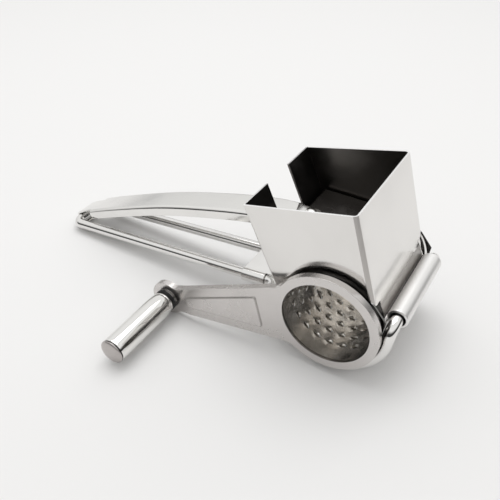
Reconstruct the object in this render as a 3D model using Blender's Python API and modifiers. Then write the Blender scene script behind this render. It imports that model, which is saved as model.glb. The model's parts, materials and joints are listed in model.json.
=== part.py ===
"""Rotary cheese grater of stainless sheet and wire: a hopper on a bent wire handle, a hand-cranked drum that
turns in the wire's two loops, and a hinged lever whose presser pushes the cheese onto the drum.

Every shape is drawn about the drum's axis: X runs from the handle towards the front roller, Y from the crank
to the back, Z up, and the zero of all three is the middle of the crank ring's front face. An empty then sets
the whole object down so that the world's origin is under the middle of its box. Metres throughout."""

from math import acos, asin, atan2, cos, hypot, pi, radians, sin, sqrt, tan

import bmesh
import bpy
from mathutils import Matrix, Vector

MM = 0.001
TIP_UP = Matrix.Rotation(radians(90), 3, "X")  # lays a drawing in X and Y into X and Z

# ---- driving dimensions ------------------------------------------------------------------------------------
GAP = 0.3 * MM  # between two pieces that touch
SHEET = 1.0 * MM  # hopper and presser
HEAVY_SHEET = 1.2 * MM  # lever and crank
REST_GAP = 0.05 * MM  # keeps the lever's curl and the crank's end just off the table

DRUM_R = 23.6 * MM  # outside of the plain sheet
DRUM_WALL = 0.8 * MM
DRUM_END_INSET = 0.9 * MM  # from the wire's outer side to the end of the rear collar
SHELL_END_INSET = 1.2 * MM  # and on to the end of the shell
CAP_INSET = 3.6 * MM  # from the end of the shell to the inner face of its cap
CAP_STEP = 2.2 * MM
CAP_DISH = (0.65, 0.68, 0.77, 0.80)  # radii of its step, outside and inside, as shares of the cap's own
PRESSER_CLEARANCE = 0.5 * MM  # from the collars, which stand out past the teeth, to the presser
COLLAR_STEP = 1.6 * MM  # how far the two bearing collars stand over the drum
COLLAR_REACH = 2.6 * MM  # of each collar past the wire, into the hopper
BEARING_PLAY = 0.7 * MM  # from a collar to the wire and to the arch in the wall

WIRE_R = 3.1 * MM
ROD_SPACING = 24.8 * MM  # between the middles of the handle's two rods
HANDLE_REACH = 190.0 * MM  # from the drum's axis back to the lever's hinge
REAR_BEND_R = 5.0 * MM
SPREAD_X = -42.0 * MM  # where the rods bend outwards to the hopper's walls
SPREAD_Z = -12.0 * MM
SPREAD_BEND_R = 8.0 * MM
WRAP_START = radians(-145.0)  # the angle at which each side begins its loop under the drum
WRAP_LEAD = 6.0 * MM
WRAP_BEND_R = 6.0 * MM
CROSSBAR_STEP = 1.64 * MM  # of the front crossbar's middle, outside the middle of the loops
CROSSBAR_ANGLE = radians(12.63)  # about the drum's axis, up from the level
FRONT_BEND_R = 7.0 * MM
BEND_STEP = radians(15.0)

CRANK_CLEARANCE = 0.4 * MM  # from the crank's flange to the wire
HOPPER_DEPTH = 65.5 * MM
REAR_RIM_HEIGHT = 47.2 * MM
FRONT_RIM_HEIGHT = 60.7 * MM
REAR_BITE = 0.87 * MM  # how far the drum's passage cuts into each end wall's outer face
FRONT_BITE = 1.56 * MM
REAR_LEAN = radians(24.4)  # of each end wall from the vertical
FRONT_LEAN = radians(16.8)
FRONT_WALL_END = 0.55 * DRUM_R  # height of the front wall's lower edge, where the drum guard takes over
SIDE_WALL_LOW = -0.3 * DRUM_R  # heights of the side walls' and the rear wall's lowest corners
REAR_WALL_LOW = -0.35 * DRUM_R
HOPPER_FOLD_R = 3.0 * MM
GUARD_CLEARANCE = 0.6 * MM  # from the drum to the lip that follows it below the front wall
GUARD_SHEET = 0.8 * MM
GUARD_START = radians(17.0)  # about the drum's axis, up from the level
GUARD_END = radians(33.0)
TAB_ROOT = 0.76 * DRUM_R  # heights at which each weld tab leaves the wall, meets the wire and ends
TAB_TOP = 0.38 * DRUM_R
TAB_FOOT = 0.115 * DRUM_R
NOTCH_GAP = 0.75 * MM  # between the lever and each side of the notch
NOTCH_DROP = 8.2 * MM  # from the lever's top to the notch's floor

SLEEVE_WALL = 0.8 * MM
SLEEVE_START = -60.5 * MM
SLEEVE_END = -46.5 * MM
STRAP_SINK = 0.1 * MM  # of the strap into the sleeves
BRACKET_TOP = 13.0 * MM  # height of the flange that is welded to the rear wall

ROLLER_R = 5.2 * MM
ROLLER_WALL = 1.4 * MM
ROLLER_LENGTH = 49.5 * MM

LEVER_HALF = 10.0 * MM
LEVER_FLANGE = 6.0 * MM
LEVER_FOLD_R = 2.2 * MM
TONGUE_HALF = 6.6 * MM
CHANNEL_TAIL = 9.0 * MM  # where the channel begins, ahead of the hinge
CURL_END = radians(-35.0)  # the angle at which the curl stops, under the crossbar
CURL_START = radians(118.0)
CHANNEL_STOP = 1.2 * MM  # from the end of the channel to the presser
STRAP_TUCK = 8.0 * MM  # of the strap inside the channel's end
STRAP_OVERLAP = 11.0 * MM  # of the lever's flat end over the presser
SINK = 0.35 * MM  # of the tongue and the strap into the underside of the channel

PRESSER_SIDE_GAP = 0.75 * MM
PRESSER_END_GAP = 1.1 * MM
PRESSER_SKIRT_END = 15.0 * MM  # height of the skirts' lower edge
RIVET_R = 1.5 * MM
RIVET_HEAD_R = 2.8 * MM
RIVET_HEAD = 0.8 * MM
RIVET_SPACING = 9.0 * MM

RING_LIP = 0.8 * MM  # of the ring inside the drum
RING_OVERHANG = 2.2 * MM  # of the ring past the collar
CRANK_LENGTH = 93.1 * MM
CRANK_FLANGE = 3.5 * MM
CRANK_END_R = 9.95 * MM
ARM_HALF_AT_DRUM = 20.5 * MM  # the straight sides, carried on to the drum's axis
ARM_HALF_AT_END = 6.7 * MM  # and to the grip's axis
ROOT_FILLET = 10.0 * MM
END_FILLET = 5.0 * MM
CRANK_SET = 5.2 * MM  # how far the arm's end stands out from the ring
SET_START = 30.0 * MM
SET_END = 78.0 * MM
PANEL_HEIGHT = 0.7 * MM  # the pressed panel that stiffens the arm
PANEL_MARGIN = 5.5 * MM
PANEL_START = 36.0 * MM
PANEL_END = 80.0 * MM

GRIP_R = 6.95 * MM
GRIP_LENGTH = 41.6 * MM
GRIP_WALL = 1.2 * MM
GRIP_WAIST = 0.7 * MM  # how much slimmer the grip is at its shoulder
GRIP_SHOULDER = 9.0 * MM
GRIP_END_R = GRIP_R - GRIP_WAIST / 4
PIN_R = 2.0 * MM
PIN_HEAD_R = 4.2 * MM
PIN_HEAD = 1.1 * MM
WASHER_R = 5.6 * MM
WASHER = 0.5 * MM
BUSH_R = 6.4 * MM
BUSH = 2.0 * MM
BUSH_NECK = 2.4 * MM
CAP_DOME = 2.1 * MM
CAP_EDGE = 0.7 * MM  # of the dome's height, straight up from its rim
CAP_SPIGOT = 1.6 * MM

# ---- sizes that follow -------------------------------------------------------------------------------------
COLLAR_R = DRUM_R + COLLAR_STEP
BEARING_R = COLLAR_R + BEARING_PLAY
GUARD_R = DRUM_R + GUARD_CLEARANCE
SWEEP_R = BEARING_R + WIRE_R  # middle of the wire where it loops under the drum
AXIS_HEIGHT = SWEEP_R + WIRE_R
CROSSBAR_X = (SWEEP_R + CROSSBAR_STEP) * cos(CROSSBAR_ANGLE)
CROSSBAR_Z = (SWEEP_R + CROSSBAR_STEP) * sin(CROSSBAR_ANGLE)
RING_INNER_R = DRUM_R - RING_LIP
RING_R = COLLAR_R + RING_OVERHANG
PRESS_R = COLLAR_R + PRESSER_CLEARANCE
HOPPER_FRONT = CRANK_FLANGE + CRANK_CLEARANCE + WIRE_R - SHEET / 2  # outer face of the wall beside the crank
MIDDLE = HOPPER_FRONT + HOPPER_DEPTH / 2
HOPPER_BACK = HOPPER_FRONT + HOPPER_DEPTH
SIDE_Y = HOPPER_FRONT + SHEET / 2
FAR_SIDE_Y = 2 * MIDDLE - SIDE_Y

CURL_INNER_R = WIRE_R + GAP
CURL_R = CURL_INNER_R + HEAVY_SHEET
HINGE_X = -HANDLE_REACH
HINGE_Z = CURL_R + REST_GAP - AXIS_HEIGHT
ROD_SLOPE = (SPREAD_Z - HINGE_Z) / (SPREAD_X - HINGE_X)
WRAP_END = atan2(CROSSBAR_Z, CROSSBAR_X) - acos(SWEEP_R / hypot(CROSSBAR_X, CROSSBAR_Z))

REAR_DOWN = Vector((sin(REAR_LEAN), -cos(REAR_LEAN)))  # down each end wall, and square to it, inwards
REAR_IN = Vector((cos(REAR_LEAN), sin(REAR_LEAN)))
FRONT_DOWN = Vector((sin(FRONT_LEAN), -cos(FRONT_LEAN)))
FRONT_IN = Vector((-cos(FRONT_LEAN), -sin(FRONT_LEAN)))
REAR_REACH = (BEARING_R - REAR_BITE + REAR_RIM_HEIGHT * sin(REAR_LEAN)) / cos(REAR_LEAN)
FRONT_REACH = (BEARING_R - FRONT_BITE - FRONT_RIM_HEIGHT * sin(FRONT_LEAN)) / cos(FRONT_LEAN)
RIM_REAR = Vector((-REAR_REACH, REAR_RIM_HEIGHT))  # the rim's two ends, as X and Z
RIM_FRONT = Vector((FRONT_REACH, FRONT_RIM_HEIGHT))

PRESSER_BOTTOM = PRESS_R + GAP / 2
PRESSER_TOP = PRESSER_BOTTOM + SHEET
STRAP_BOTTOM = PRESSER_TOP + GAP
STRAP_TOP = STRAP_BOTTOM + HEAVY_SHEET

CRANK_ANGLE = asin((AXIS_HEIGHT - CRANK_END_R - REST_GAP) / CRANK_LENGTH)
CRANK_END = Vector((-CRANK_LENGTH * cos(CRANK_ANGLE), -CRANK_SET, -CRANK_LENGTH * sin(CRANK_ANGLE)))
GRIP_START = CRANK_END.y - GAP - WASHER - GAP - BUSH - GAP
GRIP_END = GRIP_START - GRIP_LENGTH
CAP_END = GRIP_END - GAP - CAP_DOME
DRUM_END = FAR_SIDE_Y + WIRE_R - DRUM_END_INSET

BOX_X = (HINGE_X - CURL_R, CROSSBAR_X + ROLLER_R)
BOX_Y = (CAP_END, FAR_SIDE_Y + WIRE_R)
ORIGIN = Vector((-sum(BOX_X) / 2, -sum(BOX_Y) / 2, AXIS_HEIGHT))


# ---- scene, materials and pivots ---------------------------------------------------------------------------
def clear_scene():
    for item in list(bpy.data.objects):
        bpy.data.objects.remove(item, do_unlink=True)


def new_collection(name, helper=False):
    made = bpy.data.collections.new(name)
    bpy.context.scene.collection.children.link(made)
    made.hide_render = helper
    return made


clear_scene()
PARTS = new_collection("rotary_cheese_grater")
CUTTERS = new_collection("cutters", helper=True)


def pivot(name, place, parent=None):
    """An empty at a place given about the drum's axis."""
    made = bpy.data.objects.new(name, None)
    made.empty_display_size = 0.01
    PARTS.objects.link(made)
    made.parent = parent
    made.location = place
    return made


BASE = pivot("drum_axis_at_ring_face", ORIGIN)
DRUM_AXIS = pivot("crank_spin_axis", (0, 0, 0), BASE)
GRIP_AXIS = pivot("grip_spin_axis", CRANK_END, DRUM_AXIS)
HINGE_AXIS = pivot("lever_hinge_axis", (HINGE_X, MIDDLE, HINGE_Z), BASE)
ROLLER_AXIS = pivot("roller_spin_axis", (CROSSBAR_X, MIDDLE, CROSSBAR_Z), BASE)


def finish(name, colour, roughness, metallic):
    made = bpy.data.materials.new(name)
    made.use_nodes = True
    shader = made.node_tree.nodes["Principled BSDF"]
    shader.inputs["Base Color"].default_value = (*colour, 1.0)
    shader.inputs["Roughness"].default_value = roughness
    shader.inputs["Metallic"].default_value = metallic
    return made


MIRROR_STEEL = ((0.78, 0.77, 0.75), 0.08, 1.0)
SATIN_STEEL = ((0.72, 0.71, 0.70), 0.28, 1.0)
DRUM_STEEL = ((0.62, 0.58, 0.53), 0.22, 1.0)
BLACK_PLASTIC = ((0.02, 0.02, 0.02), 0.45, 0.0)


# ---- ways of making a solid --------------------------------------------------------------------------------
def turned_clockwise(outline):
    area = sum(a[0] * b[1] - b[0] * a[1] for a, b in zip(outline, outline[1:] + outline[:1]))
    return outline if area < 0 else outline[::-1]


def add_object(name, data, look, parent):
    """A part's object, or a cutter's where look is None."""
    made = bpy.data.objects.new(name, data)
    (CUTTERS if look is None else PARTS).objects.link(made)
    made.parent = parent
    if look is None:
        made.hide_render = True
        made.display_type = "WIRE"
    else:
        data.materials.append(finish(name + "_finish", *look))
    return made


def shade_round(mesh):
    mesh.shade_smooth()
    mesh.set_sharp_from_angle(angle=radians(30))


def turned(name, profile, look, parent, at=(0, 0, 0), closed=True, steps=64):
    """A shape turned about Y; profile is a list of (radius, distance along Y), closed or ending on the axis."""
    points = turned_clockwise([(r, y) for r, y in profile])
    mesh = bpy.data.meshes.new(name)
    edges = [(i, i + 1) for i in range(len(points) - 1)]
    if closed:
        edges.append((len(points) - 1, 0))
    elif points[0][0] or points[-1][0]:
        turn = next(i for i, p in enumerate(points) if not p[0] and not points[i - 1][0])
        points = points[turn:] + points[:turn]
    mesh.from_pydata([(r, 0, y) for r, y in points], edges, [])
    made = add_object(name, mesh, look, parent)
    made.location = at
    made.rotation_euler = (radians(-90), 0, 0)
    screw = made.modifiers.new("turn", "SCREW")
    screw.axis = "Z"
    screw.angle = 2 * pi
    screw.steps = steps
    screw.render_steps = steps
    screw.use_merge_vertices = True
    screw.merge_threshold = 0.00001
    screw.use_smooth_shade = True
    return made


def plate(name, outlines, near, far, look, parent, at=(0, 0, 0)):
    """A flat plate of outlines in X and Z, between two distances along Y. Later outlines are its holes."""
    curve = bpy.data.curves.new(name + "_outline", "CURVE")
    curve.dimensions = "2D"
    curve.fill_mode = "BOTH"
    curve.extrude = (far - near) / 2
    for outline in outlines:
        spline = curve.splines.new("POLY")
        spline.points.add(len(outline) - 1)
        for point, (x, z) in zip(spline.points, outline):
            point.co = (x, z, 0, 1)
        spline.use_cyclic_u = True
    drawn = bpy.data.objects.new(name + "_outline", curve)
    PARTS.objects.link(drawn)
    bpy.context.view_layer.update()
    evaluated = drawn.evaluated_get(bpy.context.evaluated_depsgraph_get())
    mesh = bpy.data.meshes.new_from_object(evaluated)
    mesh.name = name
    bpy.data.objects.remove(drawn, do_unlink=True)
    shape = bmesh.new()
    shape.from_mesh(mesh)
    bmesh.ops.remove_doubles(shape, verts=shape.verts, dist=0.000001)
    bmesh.ops.rotate(shape, verts=shape.verts, cent=(0, 0, 0), matrix=TIP_UP)
    bmesh.ops.translate(shape, verts=shape.verts, vec=(0, (near + far) / 2, 0))
    bmesh.ops.recalc_face_normals(shape, faces=shape.faces)
    shape.to_mesh(mesh)
    shape.free()
    shade_round(mesh)
    made = add_object(name, mesh, look, parent)
    made.location = at
    return made


def box(name, low, high, look=None, parent=None):
    """A box between two corners, given about the drum's axis."""
    mesh = bpy.data.meshes.new(name)
    shape = bmesh.new()
    bmesh.ops.create_cube(shape, size=1.0)
    size = Vector(high) - Vector(low)
    bmesh.ops.scale(shape, verts=shape.verts, vec=size)
    bmesh.ops.translate(shape, verts=shape.verts, vec=Vector(low) + size / 2)
    shape.to_mesh(mesh)
    shape.free()
    return add_object(name, mesh, look, parent or BASE)


def combine(target, other, operation):
    step = target.modifiers.new(other.name, "BOOLEAN")
    step.operation = operation
    step.solver = "EXACT"
    step.object = other


def cut(target, *cutters):
    for cutter in cutters:
        combine(target, cutter, "DIFFERENCE")


def join(target, *others):
    for other in others:
        combine(target, other, "UNION")


def drill(name, radius, start, end, at=(0, 0, 0), parent=None, steps=64):
    """A cutter along Y."""
    profile = [(0, start), (radius, start), (radius, end), (0, end)]
    return turned(name, profile, None, parent or BASE, at, closed=False, steps=steps)


def round_folds(made, on_fold, width, segments=4):
    """Rounds the edges whose two ends pass the test, other than those that run along Y."""
    shape = bmesh.new()
    shape.from_mesh(made.data)
    edges = [edge for edge in shape.edges if all(on_fold(v.co) for v in edge.verts)]
    edges = [edge for edge in edges if abs(edge.verts[0].co.y - edge.verts[1].co.y) < SHEET]
    bmesh.ops.bevel(shape, geom=edges, offset=width, segments=segments, profile=0.5, affect="EDGES")
    shape.to_mesh(made.data)
    shape.free()
    shade_round(made.data)


def rounded_path(corners):
    """Points along straight runs, in a closed loop, with an arc at each corner: (point, bend radius)."""
    path = []
    for i, (corner, bend) in enumerate(corners):
        if not bend:
            path.append(corner)
            continue
        back = (corners[i - 1][0] - corner).normalized()
        ahead = (corners[(i + 1) % len(corners)][0] - corner).normalized()
        half = back.angle(ahead) / 2
        centre = corner + (back + ahead).normalized() * bend / sin(half)
        first = corner + back * bend / tan(half) - centre
        last = corner + ahead * bend / tan(half) - centre
        turn = pi - 2 * half
        count = max(2, round(turn / BEND_STEP))
        for k in range(count + 1):
            share = k / count
            path.append(centre + (first * sin((1 - share) * turn) + last * sin(share * turn)) / sin(turn))
    return path


def tube_along(name, path, radius, look, parent):
    """A round wire along a closed path."""
    curve = bpy.data.curves.new(name, "CURVE")
    curve.dimensions = "3D"
    curve.bevel_depth = radius
    curve.bevel_resolution = 2
    curve.use_fill_caps = True
    spline = curve.splines.new("POLY")
    spline.points.add(len(path) - 1)
    for point, place in zip(spline.points, path):
        point.co = (*place, 1)
    spline.use_cyclic_u = True
    return add_object(name, curve, look, parent)


def strip_outline(path, thickness):
    """The outline of a strip of sheet along a path in X and Z."""
    left = []
    right = []
    for i, point in enumerate(path):
        before = (point - path[i - 1]).normalized() if i else None
        after = (path[i + 1] - point).normalized() if i + 1 < len(path) else before
        before = before or after
        normals = [Vector((-d.y, d.x)) for d in (before, after)]
        mitre = (normals[0] + normals[1]).normalized()
        reach = thickness / 2 / mitre.dot(normals[0])
        left.append(point + mitre * reach)
        right.append(point - mitre * reach)
    return [tuple(p) for p in left + right[::-1]]


def arc(centre, radius, start, end, count):
    """Points on the shorter arc between two angles, both ends included."""
    swing = (end - start + pi) % (2 * pi) - pi
    angles = [start + swing * i / count for i in range(count + 1)]
    return [Vector((centre[0] + radius * cos(a), centre[1] + radius * sin(a))) for a in angles]


def applied(made):
    """Turns a part's modifiers into its mesh."""
    bpy.context.view_layer.update()
    evaluated = made.evaluated_get(bpy.context.evaluated_depsgraph_get())
    mesh = bpy.data.meshes.new_from_object(evaluated)
    made.modifiers.clear()
    made.data = mesh


# ---- hopper and handle, which stay still -------------------------------------------------------------------
def rear_face(height, depth=0.0):
    """X on the rear wall at a height, at a depth into the hopper from its outer face."""
    start = RIM_REAR + REAR_IN * depth
    return start.x + REAR_DOWN.x * (start.y - height) / -REAR_DOWN.y


def front_face(height, depth=0.0):
    start = RIM_FRONT + FRONT_IN * depth
    return start.x + FRONT_DOWN.x * (start.y - height) / -FRONT_DOWN.y


def rim_height(x):
    slope = (RIM_FRONT.y - RIM_REAR.y) / (RIM_FRONT.x - RIM_REAR.x)
    return RIM_REAR.y + slope * (x - RIM_REAR.x)


def on_rim(start, down):
    """Where the line through a point, along an end wall, meets the rim."""
    slope = (RIM_FRONT.y - RIM_REAR.y) / (RIM_FRONT.x - RIM_REAR.x)
    t = (rim_height(start.x) - start.y) / (down.y - slope * down.x)
    return start + down * t


def wire_side(height):
    """X of the wire's inner side where it rises to the front crossbar, less the gap."""
    return (BEARING_R - GAP - height * sin(WRAP_END)) / cos(WRAP_END)


def make_hopper_wrap():
    """One sheet folded round three sides: front, crank side and back, with an arch over each end of the drum."""
    start = RIM_REAR + REAR_IN * (SHEET + GAP)
    top = on_rim(start, REAR_DOWN)
    low = (rear_face(SIDE_WALL_LOW, SHEET + GAP), SIDE_WALL_LOW)
    end = (front_face(FRONT_WALL_END), FRONT_WALL_END)
    outline = [tuple(top), tuple(RIM_FRONT), end, (0, 0), low]
    wrap = plate("hopper_wrap", [outline], HOPPER_FRONT, HOPPER_BACK, MIRROR_STEEL, BASE)

    def on_fold(point):
        return abs(point.x - front_face(point.z)) < 0.01 * MM and point.z > FRONT_WALL_END - 0.01 * MM

    round_folds(wrap, on_fold, HOPPER_FOLD_R)
    inside = [
        (rear_face(2 * RIM_FRONT.y), 2 * RIM_FRONT.y),
        (front_face(2 * RIM_FRONT.y, SHEET), 2 * RIM_FRONT.y),
        (front_face(-AXIS_HEIGHT, SHEET), -AXIS_HEIGHT),
        (rear_face(-AXIS_HEIGHT, -2 * SHEET), -AXIS_HEIGHT),
        (rear_face(0, -30 * SHEET), 0),
    ]
    hollow = plate("hopper_inside", [inside], HOPPER_FRONT + SHEET, HOPPER_BACK - SHEET, None, BASE)

    def on_inner_fold(point):
        return abs(point.x - front_face(point.z, SHEET)) < 0.01 * MM

    round_folds(hollow, on_inner_fold, HOPPER_FOLD_R - SHEET)
    cut(wrap, hollow)
    tab = [
        (front_face(TAB_ROOT, 3 * SHEET), TAB_ROOT + 2 * SHEET),
        (front_face(TAB_ROOT, SHEET / 5), TAB_ROOT),
        (wire_side(TAB_TOP), TAB_TOP),
        (wire_side(TAB_FOOT), TAB_FOOT),
        (0.7 * BEARING_R, TAB_FOOT),
    ]
    for side, near in (("front", HOPPER_FRONT), ("back", HOPPER_BACK - SHEET)):
        join(wrap, plate(side + "_weld_tab", [tab], near, near + SHEET, None, BASE))
    near = SIDE_Y + WIRE_R + COLLAR_REACH
    far = FAR_SIDE_Y - WIRE_R - COLLAR_REACH
    lip = arc((0, 0), GUARD_R - SHEET / 2, GUARD_START, GUARD_END, 8)
    lip += arc((0, 0), GUARD_R + GUARD_SHEET, GUARD_END, GUARD_START, 8)
    join(wrap, plate("drum_guard", [[tuple(p) for p in lip]], near - SHEET, far + SHEET, None, BASE))
    start, end = HOPPER_FRONT - SHEET, HOPPER_BACK + SHEET
    profile = [(0, start), (BEARING_R, start), (BEARING_R, near + GAP), (GUARD_R, near + GAP)]
    profile += [(GUARD_R, far - GAP), (BEARING_R, far - GAP), (BEARING_R, end), (0, end)]
    cut(wrap, turned("drum_passage", profile, None, BASE, closed=False, steps=96))


def make_hopper_rear_wall():
    """The fourth side, welded between the edges of the wrap, with a notch for the lever."""
    inner = on_rim(RIM_REAR + REAR_IN * SHEET, REAR_DOWN)
    feet = [(rear_face(REAR_WALL_LOW, depth), REAR_WALL_LOW) for depth in (SHEET, 0)]
    outline = [tuple(RIM_REAR), tuple(inner), *feet]
    wall = plate("hopper_rear_wall", [outline], HOPPER_FRONT, HOPPER_BACK, MIRROR_STEEL, BASE)
    half = LEVER_HALF + NOTCH_GAP
    floor = STRAP_TOP - NOTCH_DROP
    corner = (rear_face(RIM_FRONT.y, -10 * SHEET), MIDDLE - half, floor)
    notch = box("lever_notch", corner, (0, MIDDLE + half, RIM_FRONT.y))
    passage = drill("rear_passage", BEARING_R, HOPPER_FRONT - SHEET, HOPPER_BACK + SHEET, steps=96)
    cut(wall, notch, passage)


def make_handle_wire():
    """One bent loop: lever hinge at the back, two rods, a loop under each end of the drum, roller at the front."""
    rear = Vector((HINGE_X, MIDDLE - ROD_SPACING / 2, HINGE_Z))
    spread = Vector((SPREAD_X, MIDDLE - ROD_SPACING / 2, SPREAD_Z))
    first = Vector((SWEEP_R * cos(WRAP_START), SIDE_Y, SWEEP_R * sin(WRAP_START)))
    lead = first - Vector((-sin(WRAP_START), 0, cos(WRAP_START))) * WRAP_LEAD
    loop = arc((0, 0), SWEEP_R, WRAP_START, WRAP_END, 20)
    front = Vector((CROSSBAR_X, SIDE_Y, CROSSBAR_Z))
    side = [(rear, REAR_BEND_R), (spread, SPREAD_BEND_R), (lead, WRAP_BEND_R)]
    side += [(Vector((x, SIDE_Y, z)), 0) for x, z in loop]
    side += [(front, FRONT_BEND_R)]
    far_side = [(Vector((p.x, 2 * MIDDLE - p.y, p.z)), bend) for p, bend in reversed(side)]
    tube_along("handle_wire", rounded_path(side + far_side), WIRE_R, MIRROR_STEEL, BASE)


def make_rear_bracket():
    """A strap rolled into a sleeve round each rod and folded up against the hopper's rear wall."""
    lift = SLEEVE_WALL / 2 + WIRE_R + GAP - STRAP_SINK

    def rod_height(x):
        return SPREAD_Z + (x - SPREAD_X) * ROD_SLOPE

    depth = -GAP - SLEEVE_WALL / 2
    start = Vector((rear_face(0, depth), 0))
    t = (rod_height(start.x) + lift) / (REAR_DOWN.y - ROD_SLOPE * REAR_DOWN.x)
    corner = start + REAR_DOWN * t
    tip = Vector((rear_face(BRACKET_TOP, depth), BRACKET_TOP))
    path = [Vector((SLEEVE_START, rod_height(SLEEVE_START) + lift)), corner, tip]
    near = MIDDLE - ROD_SPACING / 2
    far = MIDDLE + ROD_SPACING / 2
    strap = plate("rear_bracket", [strip_outline(path, SLEEVE_WALL)], near, far, MIRROR_STEEL, BASE)
    length = (SLEEVE_END - SLEEVE_START) * sqrt(1 + ROD_SLOPE**2)
    tilt = (0, pi / 2 - atan2(ROD_SLOPE, 1), 0)
    for side, y in (("front", near), ("back", far)):
        at = (SLEEVE_START, y, rod_height(SLEEVE_START))
        outer = WIRE_R + GAP + SLEEVE_WALL
        sleeve = turned(side + "_sleeve", solid_rod(outer, 0, length), None, BASE, at, False, 32)
        bore = turned(side + "_bore", solid_rod(WIRE_R + GAP, -length, 2 * length), None, BASE, at, False, 32)
        sleeve.rotation_euler = tilt
        bore.rotation_euler = tilt
        join(strap, sleeve)
        cut(strap, bore)


def solid_rod(radius, start, end):
    return [(0, start), (radius, start), (radius, end), (0, end)]


def tube_wall(inner, outer, start, end):
    return [(inner, start), (outer, start), (outer, end), (inner, end)]


def make_front_roller():
    half = ROLLER_LENGTH / 2
    profile = tube_wall(ROLLER_R - ROLLER_WALL, ROLLER_R, -half, half)
    turned("front_roller", profile, MIRROR_STEEL, ROLLER_AXIS, steps=32)


# ---- lever and presser -------------------------------------------------------------------------------------
def lever_line():
    """The middle of the lever's upper face in X and Z, from the curl to the presser: a gentle arch."""
    tail = Vector((HINGE_X, HINGE_Z)) + Vector((cos(CURL_START), sin(CURL_START))) * CURL_R
    end = Vector((presser_x(PRESSER_INNER_REACH, PRESSER_TOP) - CHANNEL_STOP, STRAP_TOP + SINK))
    along = end.x - tail.x
    rise = end.y - tail.y
    # heights as shares of the rise: steep over the hinge, level at the hopper
    shares = ((0.0, 0.0), (0.045, 0.078), (0.21, 0.3), (0.48, 0.62), (0.735, 0.85), (0.9, 0.965), (1.0, 1.0))
    return [Vector((tail.x + along * a, tail.y + rise * b)) for a, b in shares]


def smooth_curve(points, steps):
    """A curve through the points, as many steps between each two."""
    ends = [2 * points[0] - points[1]] + points + [2 * points[-1] - points[-2]]
    path = []
    for a, b, c, d in zip(ends, ends[1:], ends[2:], ends[3:]):
        for k in range(steps):
            t = k / steps
            path.append(
                0.5 * (2 * b + (c - a) * t + (2 * a - 5 * b + 4 * c - d) * t**2 + (3 * b - a - 3 * c + d) * t**3)
            )
    return path + [points[-1]]


def channel_section(half, flange):
    """Across the lever: distance along Y and depth under its top, round both folds."""
    fold = [(half - LEVER_FOLD_R * (1 - sin(a)), LEVER_FOLD_R * (1 - cos(a))) for a in
            [radians(d) for d in (0, 30, 60, 90)]]
    right = fold + [(half, flange)]
    return [(-y, depth) for y, depth in reversed(right)] + right


def make_lever_channel():
    """A pressed channel, open below, that ends in a tongue curled round the crossbar and in a flat strap."""
    at = (-HINGE_X, -MIDDLE, -HINGE_Z)
    path = [p for p in smooth_curve(lever_line(), 4) if p.x > HINGE_X + CHANNEL_TAIL]
    shape = bmesh.new()
    rows = []
    for i, point in enumerate(path):
        ahead = (path[min(i + 1, len(path) - 1)] - path[max(i - 1, 0)]).normalized()
        row = []
        for y, depth in channel_section(LEVER_HALF, LEVER_FLANGE):
            row.append(shape.verts.new((point.x + ahead.y * depth, MIDDLE + y, point.y - ahead.x * depth)))
        rows.append(row)
    for near, far in zip(rows, rows[1:]):
        for a, b, c, d in zip(near, near[1:], far[1:], far):
            shape.faces.new((a, d, c, b))
    bmesh.ops.recalc_face_normals(shape, faces=shape.faces)
    if sum(face.normal.z for face in shape.faces) < 0:
        bmesh.ops.reverse_faces(shape, faces=shape.faces)
    mesh = bpy.data.meshes.new("lever_channel")
    shape.to_mesh(mesh)
    shape.free()
    shade_round(mesh)
    lever = add_object("lever_channel", mesh, MIRROR_STEEL, HINGE_AXIS)
    lever.location = at
    wall = lever.modifiers.new("sheet", "SOLIDIFY")
    wall.thickness = HEAVY_SHEET
    wall.offset = -1
    wall.use_even_offset = True

    middle_r = CURL_INNER_R + HEAVY_SHEET / 2
    curl = [Vector((HINGE_X, HINGE_Z)) + p for p in arc_long(middle_r, CURL_END, CURL_START - 2 * pi, 18)]
    run = [p for p in smooth_curve(lever_line(), 4) if HINGE_X < p.x < HINGE_X + 2.5 * CHANNEL_TAIL]
    sunk = HEAVY_SHEET / 2 + SINK
    tongue_path = curl + [Vector((p.x, p.y - sunk)) for p in run[1:]]
    near = MIDDLE - TONGUE_HALF
    far = MIDDLE + TONGUE_HALF
    tongue = plate("hinge_curl", [strip_outline(tongue_path, HEAVY_SHEET)], near, far, None, BASE)
    start = path[-1].x - STRAP_TUCK
    end = presser_x(PRESSER_INNER_REACH, STRAP_TOP) + STRAP_OVERLAP
    half = LEVER_HALF - LEVER_FOLD_R
    strap = box("lever_strap", (start, MIDDLE - half, STRAP_BOTTOM), (end, MIDDLE + half, STRAP_TOP))
    join(lever, tongue, strap)
    for i in (0, 1):
        cut(lever, rivet_hole(i))


def arc_long(radius, start, end, count):
    """Points about the origin from one angle to another, whichever way and however far."""
    angles = [start + (end - start) * i / count for i in range(count + 1)]
    return [Vector((radius * cos(a), radius * sin(a))) for a in angles]


PRESSER_INNER_REACH = PRESSER_END_GAP + hypot(
    rear_face(PRESSER_SKIRT_END, SHEET) - HINGE_X, PRESSER_SKIRT_END - HINGE_Z
)
PRESSER_OUTER_REACH = (
    (RIM_FRONT - Vector((HINGE_X, HINGE_Z))).dot(-FRONT_IN) - SHEET - PRESSER_END_GAP
)


def presser_x(reach, height):
    """X at a distance from the hinge and a height."""
    return HINGE_X + sqrt(reach**2 - (height - HINGE_Z) ** 2)


def rivet_place(index):
    x = presser_x(PRESSER_INNER_REACH, STRAP_TOP) + STRAP_OVERLAP / 2
    return (x, MIDDLE + (index - 0.5) * RIVET_SPACING, 0)


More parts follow.
